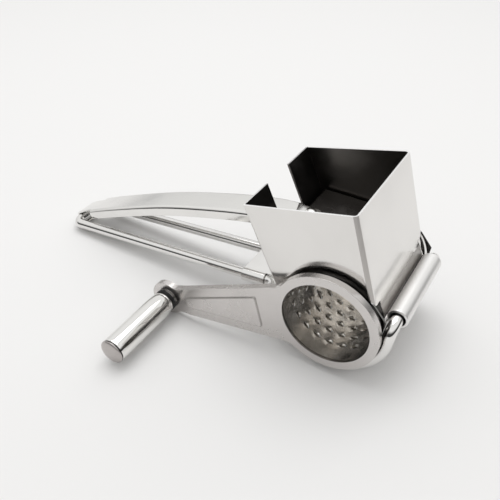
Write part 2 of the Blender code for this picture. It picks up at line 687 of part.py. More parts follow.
def rivet_hole(index):
    profile = solid_rod(RIVET_R + GAP, PRESSER_BOTTOM - 2 * SHEET, STRAP_TOP + 2 * SHEET)
    hole = turned(f"rivet_hole_{index + 1}", profile, None, BASE, rivet_place(index), False, 24)
    hole.rotation_euler = (0, 0, 0)
    return hole


def make_presser():
    """A pan that fills the hopper and straddles the drum, held under the lever's strap by two rivets."""
    skirt = PRESSER_SKIRT_END
    outline = [
        (presser_x(PRESSER_INNER_REACH, PRESSER_TOP), PRESSER_TOP),
        (presser_x(PRESSER_OUTER_REACH, PRESSER_TOP), PRESSER_TOP),
        (presser_x(PRESSER_OUTER_REACH, skirt), skirt),
        (presser_x(PRESSER_INNER_REACH, skirt), skirt),
    ]
    near = HOPPER_FRONT + SHEET + PRESSER_SIDE_GAP
    far = HOPPER_BACK - SHEET - PRESSER_SIDE_GAP
    pan = plate("presser_pan", [outline], near, far, MIRROR_STEEL, HINGE_AXIS, (-HINGE_X, -MIDDLE, -HINGE_Z))
    low = skirt - AXIS_HEIGHT
    inner = PRESSER_INNER_REACH + SHEET
    outer = PRESSER_OUTER_REACH - SHEET
    inside = [
        (presser_x(inner, PRESSER_BOTTOM), PRESSER_BOTTOM),
        (presser_x(outer, PRESSER_BOTTOM), PRESSER_BOTTOM),
        (presser_x(outer, skirt), skirt),
        (presser_x(outer, skirt), low),
        (presser_x(inner, skirt), low),
        (presser_x(inner, skirt), skirt),
    ]
    cut(pan, plate("pan_inside", [inside], near + SHEET, far - SHEET, None, BASE))
    cut(pan, drill("pan_arch", PRESS_R, HOPPER_FRONT, HOPPER_BACK, steps=96))
    for i in (0, 1):
        cut(pan, rivet_hole(i))
        x, y, _ = rivet_place(i)
        low_head = PRESSER_BOTTOM - GAP
        high_head = STRAP_TOP + GAP
        profile = [
            (0, low_head - RIVET_HEAD),
            (RIVET_HEAD_R, low_head - RIVET_HEAD),
            (RIVET_HEAD_R, low_head),
            (RIVET_R, low_head),
            (RIVET_R, high_head),
            (RIVET_HEAD_R, high_head),
            (RIVET_HEAD_R * 0.6, high_head + RIVET_HEAD),
            (0, high_head + RIVET_HEAD),
        ]
        at = (x - HINGE_X, y - MIDDLE, -HINGE_Z)
        rivet = turned(f"presser_rivet_{i + 1}", profile, MIRROR_STEEL, HINGE_AXIS, at, False, 24)
        rivet.rotation_euler = (0, 0, 0)


# ---- drum and crank ----------------------------------------------------------------------------------------
def arm_frame(s, n):
    """X and Z of a place on the crank: along the arm from the drum's axis, and across it."""
    return (-s * cos(CRANK_ANGLE) - n * sin(CRANK_ANGLE), -s * sin(CRANK_ANGLE) + n * cos(CRANK_ANGLE))


def crank_outline(inset):
    """Ring, tapering arm and round end, with the hollows between them filleted."""
    taper = atan2(ARM_HALF_AT_DRUM - ARM_HALF_AT_END, CRANK_LENGTH)
    along = Vector((cos(taper), -sin(taper)))
    across = Vector((sin(taper), cos(taper)))
    end = Vector((CRANK_LENGTH, 0))
    root = ROOT_FILLET + inset
    neck = END_FILLET + inset
    ring = RING_R - inset
    tip = CRANK_END_R - inset
    off_drum = ARM_HALF_AT_DRUM * cos(taper) - inset + root
    off_end = ARM_HALF_AT_END * cos(taper) - inset + neck
    root_centre = across * off_drum + along * sqrt((ring + root) ** 2 - off_drum**2)
    neck_centre = end + across * off_end - along * sqrt((tip + neck) ** 2 - off_end**2)
    to_root = atan2(root_centre.y, root_centre.x)
    to_neck = atan2(neck_centre.y - end.y, neck_centre.x - end.x)
    inward = atan2(-across.y, -across.x)
    upper = arc((0, 0), ring, pi, to_root, 24)
    upper += arc(root_centre, root, to_root + pi, inward, 5)
    upper += arc(neck_centre, neck, inward, to_neck + pi, 5)
    upper += arc(end, tip, to_neck, 0, 12)
    lower = [Vector((p.x, -p.y)) for p in upper[-2:0:-1]]
    return [arm_frame(*p) for p in upper + lower]


def make_crank_arm():
    """A pressed arm: ring, arm and end in one sheet with its edge folded back, set outwards towards the grip."""
    arm = plate("crank_arm", [crank_outline(0)], 0, CRANK_FLANGE, SATIN_STEEL, DRUM_AXIS)
    back = plate("crank_hollow", [crank_outline(HEAVY_SHEET)], HEAVY_SHEET, 2 * CRANK_FLANGE, None, BASE)
    cut(arm, back)

    def half_width(s):
        lost = (ARM_HALF_AT_DRUM - ARM_HALF_AT_END) * s / CRANK_LENGTH
        return ARM_HALF_AT_DRUM - lost - PANEL_MARGIN

    panel = [
        arm_frame(PANEL_START, half_width(PANEL_START)),
        arm_frame(PANEL_END, half_width(PANEL_END)),
        arm_frame(PANEL_END, -half_width(PANEL_END)),
        arm_frame(PANEL_START, -half_width(PANEL_START)),
    ]
    join(arm, plate("arm_panel", [panel], -PANEL_HEIGHT, HEAVY_SHEET / 2, None, BASE))
    cut(arm, drill("ring_hole", RING_INNER_R, -CRANK_FLANGE, 2 * CRANK_FLANGE, steps=96))
    pin_at = (CRANK_END.x, 0, CRANK_END.z)
    cut(arm, drill("pin_hole", PIN_R + GAP, -CRANK_FLANGE, 2 * CRANK_FLANGE, pin_at, steps=24))
    applied(arm)
    along = Vector((-cos(CRANK_ANGLE), 0, -sin(CRANK_ANGLE)))
    shape = bmesh.new()
    shape.from_mesh(arm.data)
    for place in (SET_START, SET_END):
        everything = shape.verts[:] + shape.edges[:] + shape.faces[:]
        bmesh.ops.bisect_plane(shape, geom=everything, dist=0.000001, plane_co=along * place, plane_no=along)
    for vert in shape.verts:
        share = (vert.co.dot(along) - SET_START) / (SET_END - SET_START)
        vert.co.y -= CRANK_SET * min(max(share, 0), 1)
    bmesh.ops.triangulate(shape, faces=shape.faces)
    shape.to_mesh(arm.data)
    shape.free()
    shade_round(arm.data)


def make_drum():
    start = HEAVY_SHEET + GAP
    shell_end = DRUM_END - SHELL_END_INSET
    turned("drum_shell", tube_wall(DRUM_R - DRUM_WALL, DRUM_R, start, shell_end), DRUM_STEEL, DRUM_AXIS)
    inner = DRUM_R + GAP
    reach = SIDE_Y + WIRE_R + COLLAR_REACH
    lip = RING_R - HEAVY_SHEET - GAP
    collar = [(inner, start), (lip, start), (lip, start + SHEET), (COLLAR_R, start + SHEET)]
    collar += [(COLLAR_R, reach), (inner, reach)]
    turned("drum_front_collar", collar, MIRROR_STEEL, DRUM_AXIS)
    rear = tube_wall(inner, COLLAR_R, FAR_SIDE_Y - WIRE_R - COLLAR_REACH, DRUM_END)
    turned("drum_rear_rim", rear, MIRROR_STEEL, DRUM_AXIS)
    cap_r = DRUM_R - DRUM_WALL - GAP
    floor = shell_end - CAP_INSET
    ledge = floor + CAP_STEP
    back_low, front_low, back_high, front_high = [share * cap_r for share in CAP_DISH]
    cap = [(0, floor), (front_low, floor), (front_high, ledge), (cap_r, ledge)]
    cap += [(cap_r, ledge + SHEET), (back_high, ledge + SHEET), (back_low, floor + SHEET), (0, floor + SHEET)]
    turned("drum_rear_cap", cap, DRUM_STEEL, DRUM_AXIS, closed=False)


# ---- grip --------------------------------------------------------------------------------------------------
def make_grip():
    """A sleeve that turns on a riveted pin, over a plastic liner, between a bush and a domed cap."""
    bore = GRIP_R - GRIP_WAIST - GRIP_WALL
    snug = bore - GAP
    face = CRANK_END.y
    on_crank = (CRANK_END.x, 0, CRANK_END.z)
    on_grip = (0, -CRANK_END.y, 0)
    running = PIN_R + GAP

    washer_face = face - GAP
    turned(
        "grip_washer", tube_wall(running, WASHER_R, washer_face - WASHER, washer_face), MIRROR_STEEL, DRUM_AXIS,
        on_crank, steps=32,
    )
    bush_face = washer_face - WASHER - GAP
    neck_end = bush_face - BUSH - BUSH_NECK
    bush = [(running, bush_face), (BUSH_R, bush_face), (BUSH_R, bush_face - BUSH), (snug, bush_face - BUSH)]
    bush += [(snug, neck_end), (running, neck_end)]
    turned("grip_bush", bush, BLACK_PLASTIC, GRIP_AXIS, on_grip, steps=32)

    tube = [
        (bore, GRIP_START),
        (GRIP_R - GRIP_WAIST, GRIP_START),
        (GRIP_END_R, GRIP_START - GRIP_SHOULDER / 2),
        (GRIP_R, GRIP_START - GRIP_SHOULDER),
        (GRIP_R, GRIP_END + GRIP_SHOULDER),
        (GRIP_END_R, GRIP_END),
        (bore, GRIP_END),
    ]
    turned("grip_tube", tube, MIRROR_STEEL, GRIP_AXIS, on_grip, steps=48)

    spigot_end = GRIP_END + CAP_SPIGOT
    head_end = spigot_end + GAP
    liner_end = head_end + PIN_HEAD + GAP
    liner = tube_wall(running, snug, neck_end - GAP, liner_end)
    turned("grip_liner", liner, BLACK_PLASTIC, GRIP_AXIS, on_grip, steps=32)

    rim = GRIP_END - GAP
    dome_start = rim - CAP_EDGE
    cap = [(0, spigot_end), (snug, spigot_end), (snug, rim), (GRIP_END_R, rim), (GRIP_END_R, dome_start)]
    for angle in (pi / 6, pi / 3):
        cap.append((GRIP_END_R * cos(angle), dome_start - (CAP_DOME - CAP_EDGE) * sin(angle)))
    cap.append((0, rim - CAP_DOME))
    turned("grip_end_cap", cap, SATIN_STEEL, GRIP_AXIS, on_grip, closed=False, steps=48)

    inner_head = face + HEAVY_SHEET + GAP
    pin = [
        (0, inner_head + PIN_HEAD),
        (PIN_HEAD_R, inner_head + PIN_HEAD),
        (PIN_HEAD_R, inner_head),
        (PIN_R, inner_head),
        (PIN_R, liner_end - GAP),
        (0.85 * PIN_HEAD_R, liner_end - GAP),
        (0.85 * PIN_HEAD_R, head_end),
        (0, head_end),
    ]
    turned("grip_pin", pin, MIRROR_STEEL, DRUM_AXIS, on_crank, closed=False, steps=32)


make_hopper_wrap()
make_hopper_rear_wall()
make_handle_wire()
make_rear_bracket()
make_front_roller()
make_lever_channel()
make_presser()
make_crank_arm()
make_drum()
make_grip()
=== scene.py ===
"""Looks for the rotary cheese grater: folded, bent, pressed, punched and turned stainless pieces round the CAD
frame, on a pale table under soft studio light."""

import json
from math import acos, atan2, cos, hypot, pi, radians, sin, sqrt, tan

import bmesh
import bpy
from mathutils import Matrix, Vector


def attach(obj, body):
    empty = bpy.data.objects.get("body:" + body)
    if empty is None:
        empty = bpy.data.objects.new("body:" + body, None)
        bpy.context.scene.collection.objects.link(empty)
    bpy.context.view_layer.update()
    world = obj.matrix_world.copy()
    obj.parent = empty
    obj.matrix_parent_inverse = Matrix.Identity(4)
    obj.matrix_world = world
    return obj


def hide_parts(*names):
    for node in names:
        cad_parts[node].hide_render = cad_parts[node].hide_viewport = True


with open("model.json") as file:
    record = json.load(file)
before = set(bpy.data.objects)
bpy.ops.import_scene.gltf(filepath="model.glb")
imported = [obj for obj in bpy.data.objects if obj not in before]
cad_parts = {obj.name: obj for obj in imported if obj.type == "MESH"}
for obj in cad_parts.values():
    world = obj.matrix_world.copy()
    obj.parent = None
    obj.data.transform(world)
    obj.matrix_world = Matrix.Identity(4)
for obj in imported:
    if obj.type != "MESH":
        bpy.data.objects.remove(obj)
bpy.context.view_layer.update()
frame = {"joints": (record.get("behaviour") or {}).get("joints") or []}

MM = 0.001
JOINTS = {joint["name"]: Vector(joint["pos_m"]) for joint in frame["joints"]}
AXIS = JOINTS["crank_spin"]  # drum's axis at the ring's front face; every size below is in mm about it
HINGE = (JOINTS["lever_hinge"] - AXIS) / MM
GRIP = (JOINTS["grip_spin"] - AXIS) / MM
ROLLER = (JOINTS["roller_spin"] - AXIS) / MM
MIDDLE = HINGE.y

COLLAR_FRONT_END = 12.7  # the two collars, along Y, and the drum's far end
COLLAR_BACK_START = 65.8
DRUM_END = 73.7
SHEET = 1.0
HEAVY_SHEET = 1.2
DRUM_R = 23.6
COLLAR_R = 25.2
BEARING_R = 25.9
WIRE_R = 3.1
SWEEP_R = BEARING_R + WIRE_R
HOPPER_FRONT = 6.5
HOPPER_BACK = 72.0
SIDE_Y = HOPPER_FRONT + SHEET / 2
RIM_REAR = Vector((-48.9, 47.2))
RIM_FRONT = Vector((7.1, 60.7))
REAR_LEAN = radians(24.4)
FRONT_LEAN = radians(16.8)
RING_R = 27.4
RING_HOLE_R = 22.8
CRANK_LENGTH = hypot(GRIP.x, GRIP.z)
CRANK_ANGLE = atan2(-GRIP.z, -GRIP.x)


# ---- working by hand ----
def at(x, y, z):
    return AXIS + Vector((x, y, z)) * MM


def deselect():
    for other in bpy.context.selected_objects:
        other.select_set(False)


def take(piece):
    deselect()
    piece.select_set(True)
    bpy.context.view_layer.objects.active = piece


def new_piece(name):
    """Names the primitive just added and puts its place into its mesh."""
    piece = bpy.context.object
    piece.name = name
    piece.data.name = name
    take(piece)
    bpy.ops.object.transform_apply(location=True, rotation=True, scale=True)
    return piece


def edit(piece):
    take(piece)
    bpy.ops.object.mode_set(mode="EDIT")
    bpy.ops.mesh.select_mode(type="VERT")
    select_everything()


def leave():
    bpy.ops.object.mode_set(mode="OBJECT")


def add_to_scene(thing):
    bpy.context.scene.collection.objects.link(thing)


def select_everything():
    bpy.ops.mesh.select_all(action="SELECT")


def extrude(step):
    bpy.ops.mesh.extrude_region_move(TRANSFORM_OT_translate={"value": tuple(step)})


def turn_outwards():
    """In edit mode, selects everything and turns the normals outwards."""
    select_everything()
    bpy.ops.mesh.normals_make_consistent(inside=False)


def choose(piece, kind, test):
    """Selects, in edit mode, the vertices, edges or faces that pass the test."""
    bpy.ops.mesh.select_mode(type=kind)
    bpy.ops.mesh.select_all(action="DESELECT")
    shape = bmesh.from_edit_mesh(piece.data)
    items = {"VERT": shape.verts, "EDGE": shape.edges, "FACE": shape.faces}[kind]
    for item in items:
        if test(item):
            item.select_set(True)
    bmesh.update_edit_mesh(piece.data)


def round_chosen(width, segments):
    bpy.ops.mesh.bevel(offset=width * MM, segments=segments, affect="EDGES")


def local(point):
    """A vertex's place in mm about the drum's axis."""
    return (point - AXIS) / MM


def face_out(piece):
    edit(piece)
    bpy.ops.mesh.remove_doubles(threshold=0.002 * MM)
    turn_outwards()
    leave()


def apply_modifiers(piece):
    take(piece)
    for modifier in list(piece.modifiers):
        bpy.ops.object.modifier_apply(modifier=modifier.name)


def boolean(piece, other, operation):
    step = piece.modifiers.new("join or cut", "BOOLEAN")
    step.operation = operation
    step.solver = "EXACT"
    step.object = other
    apply_modifiers(piece)
    bpy.data.objects.remove(other, do_unlink=True)
    return piece


def cut(piece, cutter):
    boolean(piece, cutter, "DIFFERENCE")


def repeat(piece, count, step):
    """Lays copies of a piece in a row, each one step from the last."""
    row = piece.modifiers.new("row", "ARRAY")
    row.count = count
    row.use_relative_offset = False
    row.use_constant_offset = True
    row.constant_offset_displace = [size * MM for size in step]
    apply_modifiers(piece)


def thicken(piece, thickness, inwards=True):
    wall = piece.modifiers.new("sheet", "SOLIDIFY")
    wall.thickness = thickness * MM
    wall.offset = -1 if inwards else 1
    wall.use_even_offset = True
    apply_modifiers(piece)


def ease_edges(piece, width, segments=2, limit=38):
    """Breaks the sharp edges, as deburring does."""
    bevel = piece.modifiers.new("eased edges", "BEVEL")
    bevel.width = width * MM
    bevel.segments = segments
    bevel.limit_method = "ANGLE"
    bevel.angle_limit = radians(limit)
    bevel.miter_outer = "MITER_ARC"
    apply_modifiers(piece)


def join(piece, *others):
    take(piece)
    for other in others:
        other.select_set(True)
    bpy.ops.object.join()
    return piece


def smooth(piece, angle=32):
    """Smooth shading that keeps creases, with big flat faces left flat beside their eased edges."""
    take(piece)
    bpy.ops.object.shade_smooth_by_angle(angle=radians(angle))
    weighted = piece.modifiers.new("flat faces stay flat", "WEIGHTED_NORMAL")
    weighted.mode = "FACE_AREA"
    weighted.weight = 100
    weighted.keep_sharp = True
    apply_modifiers(piece)


def turned(name, profile, centre=(0, 0, 0), along=(0, 1, 0), steps=96, tube=False):
    """Extrudes each ring of (radius, distance) from the last. A tube's last ring meets its first."""
    along = Vector(along).normalized()
    place = at(*centre) + along * profile[0][1] * MM
    turn = along.to_track_quat("Z", "Y").to_euler()
    deselect()
    bpy.ops.mesh.primitive_circle_add(vertices=steps, radius=profile[0][0] * MM, location=place, rotation=turn)
    piece = new_piece(name)
    edit(piece)
    for (r_a, d_a), (r_b, d_b) in zip(profile, profile[1:]):
        step = along * (d_b - d_a) * MM
        place = place + step
        extrude(step)
        if r_a != r_b:
            bpy.ops.transform.resize(value=(r_b / r_a,) * 3, center_override=tuple(place))
    select_everything()
    if tube:
        bpy.ops.mesh.remove_doubles(threshold=0.001 * MM)
    else:
        bpy.ops.mesh.fill_holes(sides=0)
    turn_outwards()
    leave()
    return piece


def tube_wall(inner, outer, start, end):
    return [(inner, start), (outer, start), (outer, end), (inner, end), (inner, start)]


def plate(name, outline, near, far):
    """A ring of as many corners as the outline, set out corner by corner, filled and extruded along Y."""
    deselect()
    bpy.ops.mesh.primitive_circle_add(vertices=len(outline), radius=MM, fill_type="NGON")
    piece = new_piece(name)
    for vert, (x, z) in zip(piece.data.vertices, outline):
        vert.co = at(x, near, z)
    edit(piece)
    extrude((0, (far - near) * MM, 0))
    select_everything()
    bpy.ops.mesh.fill_holes(sides=0)
    turn_outwards()
    leave()
    return piece


def block(name, low, high):
    deselect()
    bpy.ops.mesh.primitive_cube_add(size=1)
    piece = new_piece(name)
    for vert in piece.data.vertices:
        share = vert.co + Vector((0.5, 0.5, 0.5))
        vert.co = at(*[low[i] + share[i] * (high[i] - low[i]) for i in range(3)])
    return piece


def round_rim(piece, y, width, segments=4, test=None):
    """Rounds the edges that lie at one distance along Y."""
    edit(piece)
    choose(piece, "EDGE", lambda edge: all(abs(local(v.co).y - y) < 0.01 for v in edge.verts)
           and (test is None or test(edge)))
    bpy.ops.mesh.bevel(offset=width * MM, segments=segments, affect="EDGES", clamp_overlap=True)
    leave()


def swept(piece, path):
    """Extrudes a section that stands across the start of a path in X and Z, turning it as the path turns."""
    headings = []
    for i in range(len(path)):
        run = path[min(i + 1, len(path) - 1)] - path[max(i - 1, 0)]
        headings.append(atan2(run.y, run.x))
    edit(piece)
    bpy.ops.transform.rotate(
        value=headings[0], orient_axis="Y", center_override=tuple(at(path[0].x, 0, path[0].y))
    )
    for a, b, before, after in zip(path, path[1:], headings, headings[1:]):
        extrude(((b.x - a.x) * MM, 0, (b.y - a.y) * MM))
        turn = (after - before + pi) % (2 * pi) - pi
        bpy.ops.transform.rotate(value=turn, orient_axis="Y", center_override=tuple(at(b.x, 0, b.y)))
    leave()


def section(name, start, half, first, second):
    """A flat piece stood across Y at the start of a path in X and Z, between two heights about it."""
    deselect()
    bpy.ops.mesh.primitive_plane_add(size=1)
    piece = new_piece(name)
    for vert in piece.data.vertices:
        side = half if vert.co.y > 0 else -half
        vert.co = at(start.x, MIDDLE + side, start.y + (first if vert.co.x > 0 else second))
    return piece


def close_ends(piece):
    edit(piece)
    bpy.ops.mesh.fill_holes(sides=0)
    leave()
    face_out(piece)


def face_up(piece):
    """Turns an open skin so that its normals point up on the whole."""
    edit(piece)
    turn_outwards()
    leave()
    if sum(face.normal.z * face.area for face in piece.data.polygons) < 0:
        piece.data.flip_normals()


def rounded_path(corners, step=radians(5)):
    """Points round a closed loop of straight runs, with an arc at each corner: (point, bend radius)."""
    path = []
    for i, (corner, bend) in enumerate(corners):
        if not bend:
            path.append(corner)
            continue
        back = (corners[i - 1][0] - corner).normalized()
        ahead = (corners[(i + 1) % len(corners)][0] - corner).normalized()
        half = back.angle(ahead) / 2
        centre = corner + (back + ahead).normalized() * bend / sin(half)
        first = corner + back * bend / tan(half) - centre
        last = corner + ahead * bend / tan(half) - centre
        turn = pi - 2 * half
        count = max(3, round(turn / step))
        for k in range(count + 1):
            share = k / count
            path.append(centre + (first * sin((1 - share) * turn) + last * sin(share * turn)) / sin(turn))
    return path


def arc(centre, radius, start, end, count):
    """Points on the shorter arc between two angles, both ends included."""
    swing = (end - start + pi) % (2 * pi) - pi
    angles = [start + swing * i / count for i in range(count + 1)]
    return [Vector((centre[0] + radius * cos(a), centre[1] + radius * sin(a))) for a in angles]


def smooth_curve(points, steps):
    ends = [2 * points[0] - points[1]] + points + [2 * points[-1] - points[-2]]
    path = []
    for a, b, c, d in zip(ends, ends[1:], ends[2:], ends[3:]):
        for k in range(steps):
            t = k / steps
            bend = (2 * a - 5 * b + 4 * c - d) * t**2 + (3 * b - a - 3 * c + d) * t**3
            path.append(0.5 * (2 * b + (c - a) * t + bend))
    return path + [points[-1]]


# ---- effects that several finishes share ----
def effect(name, inputs, output):
    """A group of nodes with one output. The kind of each input follows from its value."""
    group = bpy.data.node_groups.new(name, "ShaderNodeTree")
    for label, value in inputs.items():
        kind = "Float" if isinstance(value, float) else "Color" if value and len(value) == 4 else "Vector"
        socket = group.interface.new_socket(label, in_out="INPUT", socket_type="NodeSocket" + kind)
        if value is not None:
            socket.default_value = value
    kind = "Color" if output == "Color" else "Float"
    group.interface.new_socket(output, in_out="OUTPUT", socket_type="NodeSocket" + kind)
    given = group.nodes.new("NodeGroupInput").outputs
    return group, given, group.nodes.new("NodeGroupOutput").inputs[output]


def add_node(tree, kind, links=None, **settings):
    node = tree.nodes.new(kind)
    for key, value in settings.items():
        setattr(node, key, value)
    for key, source in (links or {}).items():
        if hasattr(source, "is_output"):
            tree.links.new(source, node.inputs[key])
        else:
            node.inputs[key].default_value = source
    return node


def noise(tree, vector, scale, detail, roughness=0.5):
    links = {"Vector": vector, "Scale": scale, "Detail": detail, "Roughness": roughness}
    return add_node(tree, "ShaderNodeTexNoise", links).outputs["Fac"]


def remap(tree, value, low, high, to_low=0.0, to_high=1.0):
    links = {"Value": value, "From Min": low, "From Max": high, "To Min": to_low, "To Max": to_high}
    node = add_node(tree, "ShaderNodeMapRange", links, interpolation_type="SMOOTHSTEP")
    return node.outputs["Result"]


def maths(tree, operation, a, b):
    return add_node(tree, "ShaderNodeMath", {0: a, 1: b}, operation=operation).outputs[0]


def blend(tree, share, first, second):
    """A colour between two others."""
    mix = add_node(tree, "ShaderNodeMix", data_type="RGBA")
    for socket, source in ((mix.inputs["Factor"], share), (mix.inputs[6], first), (mix.inputs[7], second)):
        tree.links.new(source, socket)
    return mix.outputs[2]


def direction_share(tree, direction, towards, low, high):
    """How far a direction lies towards another, between two cosines."""
    dot = add_node(tree, "ShaderNodeVectorMath", {0: direction, 1: towards}, operation="DOT_PRODUCT")
    return remap(tree, dot.outputs["Value"], low, high)


def make_polish_lines():
    """Fine lines left by the polishing belt, with a few deeper scratches across them, as a height."""
    inputs = {"Vector": None, "Stretch": (1, 1, 1), "Scale": 900.0, "Scratches": 0.3}
    group, given, result = effect("polish_lines", inputs, "Height")
    pair = {0: given["Vector"], 1: given["Stretch"]}
    stretched = add_node(group, "ShaderNodeVectorMath", pair, operation="MULTIPLY").outputs[0]
    lines = noise(group, stretched, given["Scale"], 4.0, 0.65)
    turned_lines = add_node(group, "ShaderNodeMapping", {"Vector": given["Vector"],
                            "Rotation": (0.5, 0.9, 0.7), "Scale": (9.0, 0.7, 0.7)}).outputs[0]
    scratches = noise(group, turned_lines, 160.0, 2.0, 0.4)
    scratches = remap(group, scratches, 0.66, 0.72)
    deep = maths(group, "MULTIPLY", scratches, given["Scratches"])
    height = maths(group, "SUBTRACT", lines, deep)
    group.links.new(height, result)
    return group


def make_handling_marks():
    """Where hands and cloths left the polish hazy: roughness between two values."""
    inputs = {"Vector": None, "Scale": 60.0, "Clean": 0.06, "Hazy": 0.18}
    group, given, result = effect("handling_marks", inputs, "Roughness")
    broad = noise(group, given["Vector"], given["Scale"], 3.0, 0.6)
    broad = remap(group, broad, 0.42, 0.72)
    finer = maths(group, "MULTIPLY", given["Scale"], 11.0)
    small = noise(group, given["Vector"], finer, 2.0, 0.6)
    small = remap(group, small, 0.35, 0.7)
    haze = maths(group, "MULTIPLY", broad, maths(group, "ADD", maths(group, "MULTIPLY", small, 0.5), 0.5))
    spread = maths(group, "SUBTRACT", given["Hazy"], given["Clean"])
    rough = maths(group, "ADD", maths(group, "MULTIPLY", haze, spread), given["Clean"])
    group.links.new(rough, result)
    return group


def make_cloudy_tint():
    """A metal's slight drift between two tints."""
    inputs = {"Vector": None, "Scale": 25.0, "Light": (0.8, 0.8, 0.8, 1), "Dark": (0.7, 0.7, 0.7, 1)}
    group, given, result = effect("cloudy_tint", inputs, "Color")
    clouds = remap(group, noise(group, given["Vector"], given["Scale"], 4.0, 0.55), 0.35, 0.68)
    tint = blend(group, clouds, given["Light"], given["Dark"])
    group.links.new(tint, result)
    return group


def make_sheet_wave():
    """The slight unevenness of pressed sheet, as a height."""
    group, given, result = effect("sheet_wave", {"Vector": None, "Scale": 30.0}, "Height")
    waves = noise(group, given["Vector"], given["Scale"], 1.0, 0.3)
    group.links.new(waves, result)
    return group


POLISH_LINES = make_polish_lines()
HANDLING_MARKS = make_handling_marks()
CLOUDY_TINT = make_cloudy_tint()
SHEET_WAVE = make_sheet_wave()


def placed(tree, group, **values):
    node = tree.nodes.new("ShaderNodeGroup")
    node.node_tree = group
    for label, value in values.items():
        socket = node.inputs[label]
        if hasattr(value, "is_output"):
            tree.links.new(value, socket)
        else:
            socket.default_value = value
    return node


def new_look(name):
    made = bpy.data.materials.new(name)
    made.use_nodes = True
    return made, made.node_tree, made.node_tree.nodes["Principled BSDF"]


def metal(name, light, dark, clean, hazy, stretch=(1, 1, 1), lines=900.0, line_depth=0.012, scratches=0.3,
          wave=0.0, marks=55.0):
    """A stainless finish: tint, polish lines, handling marks and the sheet's own waves."""
    made, tree, shader = new_look(name)
    shader.inputs["Metallic"].default_value = 1.0
    where = tree.nodes.new("ShaderNodeTexCoord").outputs["Object"]
    tint = placed(tree, CLOUDY_TINT, Vector=where, Light=(*light, 1), Dark=(*dark, 1))
    tree.links.new(tint.outputs["Color"], shader.inputs["Base Color"])
    haze = placed(tree, HANDLING_MARKS, Vector=where, Scale=marks, Clean=clean, Hazy=hazy)
    tree.links.new(haze.outputs["Roughness"], shader.inputs["Roughness"])
    fine = placed(tree, POLISH_LINES, Vector=where, Stretch=stretch, Scale=lines, Scratches=scratches)
    bump = add_node(tree, "ShaderNodeBump", {"Height": fine.outputs["Height"], "Strength": 1.0,
                                             "Distance": line_depth * MM})
    if wave:
        waves = placed(tree, SHEET_WAVE, Vector=where)
        broad = add_node(tree, "ShaderNodeBump", {"Height": waves.outputs["Height"], "Strength": 1.0,
                                                  "Distance": wave * MM})
        tree.links.new(broad.outputs["Normal"], bump.inputs["Normal"])
    tree.links.new(bump.outputs["Normal"], shader.inputs["Normal"])
    return made


def plastic(name, colour, worn, rough_low, rough_high, grain):
    made, tree, shader = new_look(name)
    where = tree.nodes.new("ShaderNodeTexCoord").outputs["Object"]
    tint = placed(tree, CLOUDY_TINT, Vector=where, Scale=300.0, Light=(*colour, 1), Dark=(*worn, 1))
    tree.links.new(tint.outputs["Color"], shader.inputs["Base Color"])
    haze = placed(tree, HANDLING_MARKS, Vector=where, Scale=150.0, Clean=rough_low, Hazy=rough_high)
    tree.links.new(haze.outputs["Roughness"], shader.inputs["Roughness"])
    texture = noise(tree, where, 2600.0, 3.0)
    bump = add_node(tree, "ShaderNodeBump", {"Height": texture, "Strength": 1.0, "Distance": grain * MM})
    tree.links.new(bump.outputs["Normal"], shader.inputs["Normal"])
    return made


HOPPER_STEEL = metal("hopper_mirror_sheet", (0.80, 0.785, 0.765), (0.76, 0.745, 0.725), 0.14, 0.22,
                     (1, 1, 0.04), 1400.0, 0.0016, 0.2, wave=0.03)
# The hopper's inside: a near-black steel tint, painted shade inside the hopper.
HOPPER_INSIDE_SHADE = metal("hopper_inside_painted_shade", (0.17, 0.16, 0.15), (0.12, 0.11, 0.105), 0.28, 0.42,
                    (1, 1, 0.04), 1300.0, 0.004, 0.3)
# Folds, the guard's bulge and the crank panel's slopes: a darker copy of the sheet, painted shade where these
# faces turn away from the light.
BEND_SHADE_STEEL = metal("bend_painted_shade", (0.50, 0.48, 0.46), (0.44, 0.425, 0.41), 0.30, 0.36, (1, 1, 0.04), 1400.0,
                   0.002, 0.1)
# Near-black steel, painted shade: the guard's edge and back tab by the roller, the front collar behind the ring,
# and the gap at the grip cap's edge.
SHADE_STEEL = metal("painted_shade_sheet", (0.06, 0.056, 0.054), (0.035, 0.033, 0.032), 0.30, 0.42, (1, 0.1, 1),
                    1300.0, 0.004, 0.3)
ROLLER_STEEL = metal("roller_satin", (0.86, 0.85, 0.835), (0.82, 0.81, 0.80), 0.34, 0.42, (1, 0.05, 1), 1300.0,
                     0.002, 0.15)
# Near-white steel for the rim's upward faces, a painted highlight from the light above.
RIM_HIGHLIGHT_STEEL = metal("rim_painted_highlight", (0.99, 0.985, 0.98), (0.95, 0.945, 0.94), 0.2, 0.3, (1, 1, 1), 1400.0,
                  0.002, 0.1)
# The presser pan, deep in the hopper: a near-black steel tint, painted shade.
PAN_SHADE_STEEL = metal("presser_pan_painted_shade", (0.12, 0.113, 0.108), (0.07, 0.066, 0.062), 0.22, 0.38,
                  (1, 0.1, 1), 1300.0, 0.004, 0.3)
LEVER_STEEL = metal("lever_mirror_sheet", (0.82, 0.81, 0.79), (0.76, 0.75, 0.735), 0.10, 0.2,
                    (0.04, 1, 1), 1200.0, 0.003, 0.3, wave=0.03)
WIRE_STEEL = metal("polished_wire", (0.82, 0.81, 0.795), (0.77, 0.76, 0.745), 0.05, 0.12,
                   (0.06, 1, 1), 1100.0, 0.0012, 0.15)
TURNED_STEEL = metal("turned_mirror", (0.83, 0.82, 0.80), (0.78, 0.77, 0.75), 0.045, 0.11,
                     (1, 0.05, 1), 1300.0, 0.0012, 0.15)
CRANK_STEEL = metal("crank_satin_sheet", (0.66, 0.635, 0.62), (0.61, 0.585, 0.57), 0.24, 0.34,
                    (0.08, 1, 1), 1500.0, 0.0012, 0.0, wave=0.02)
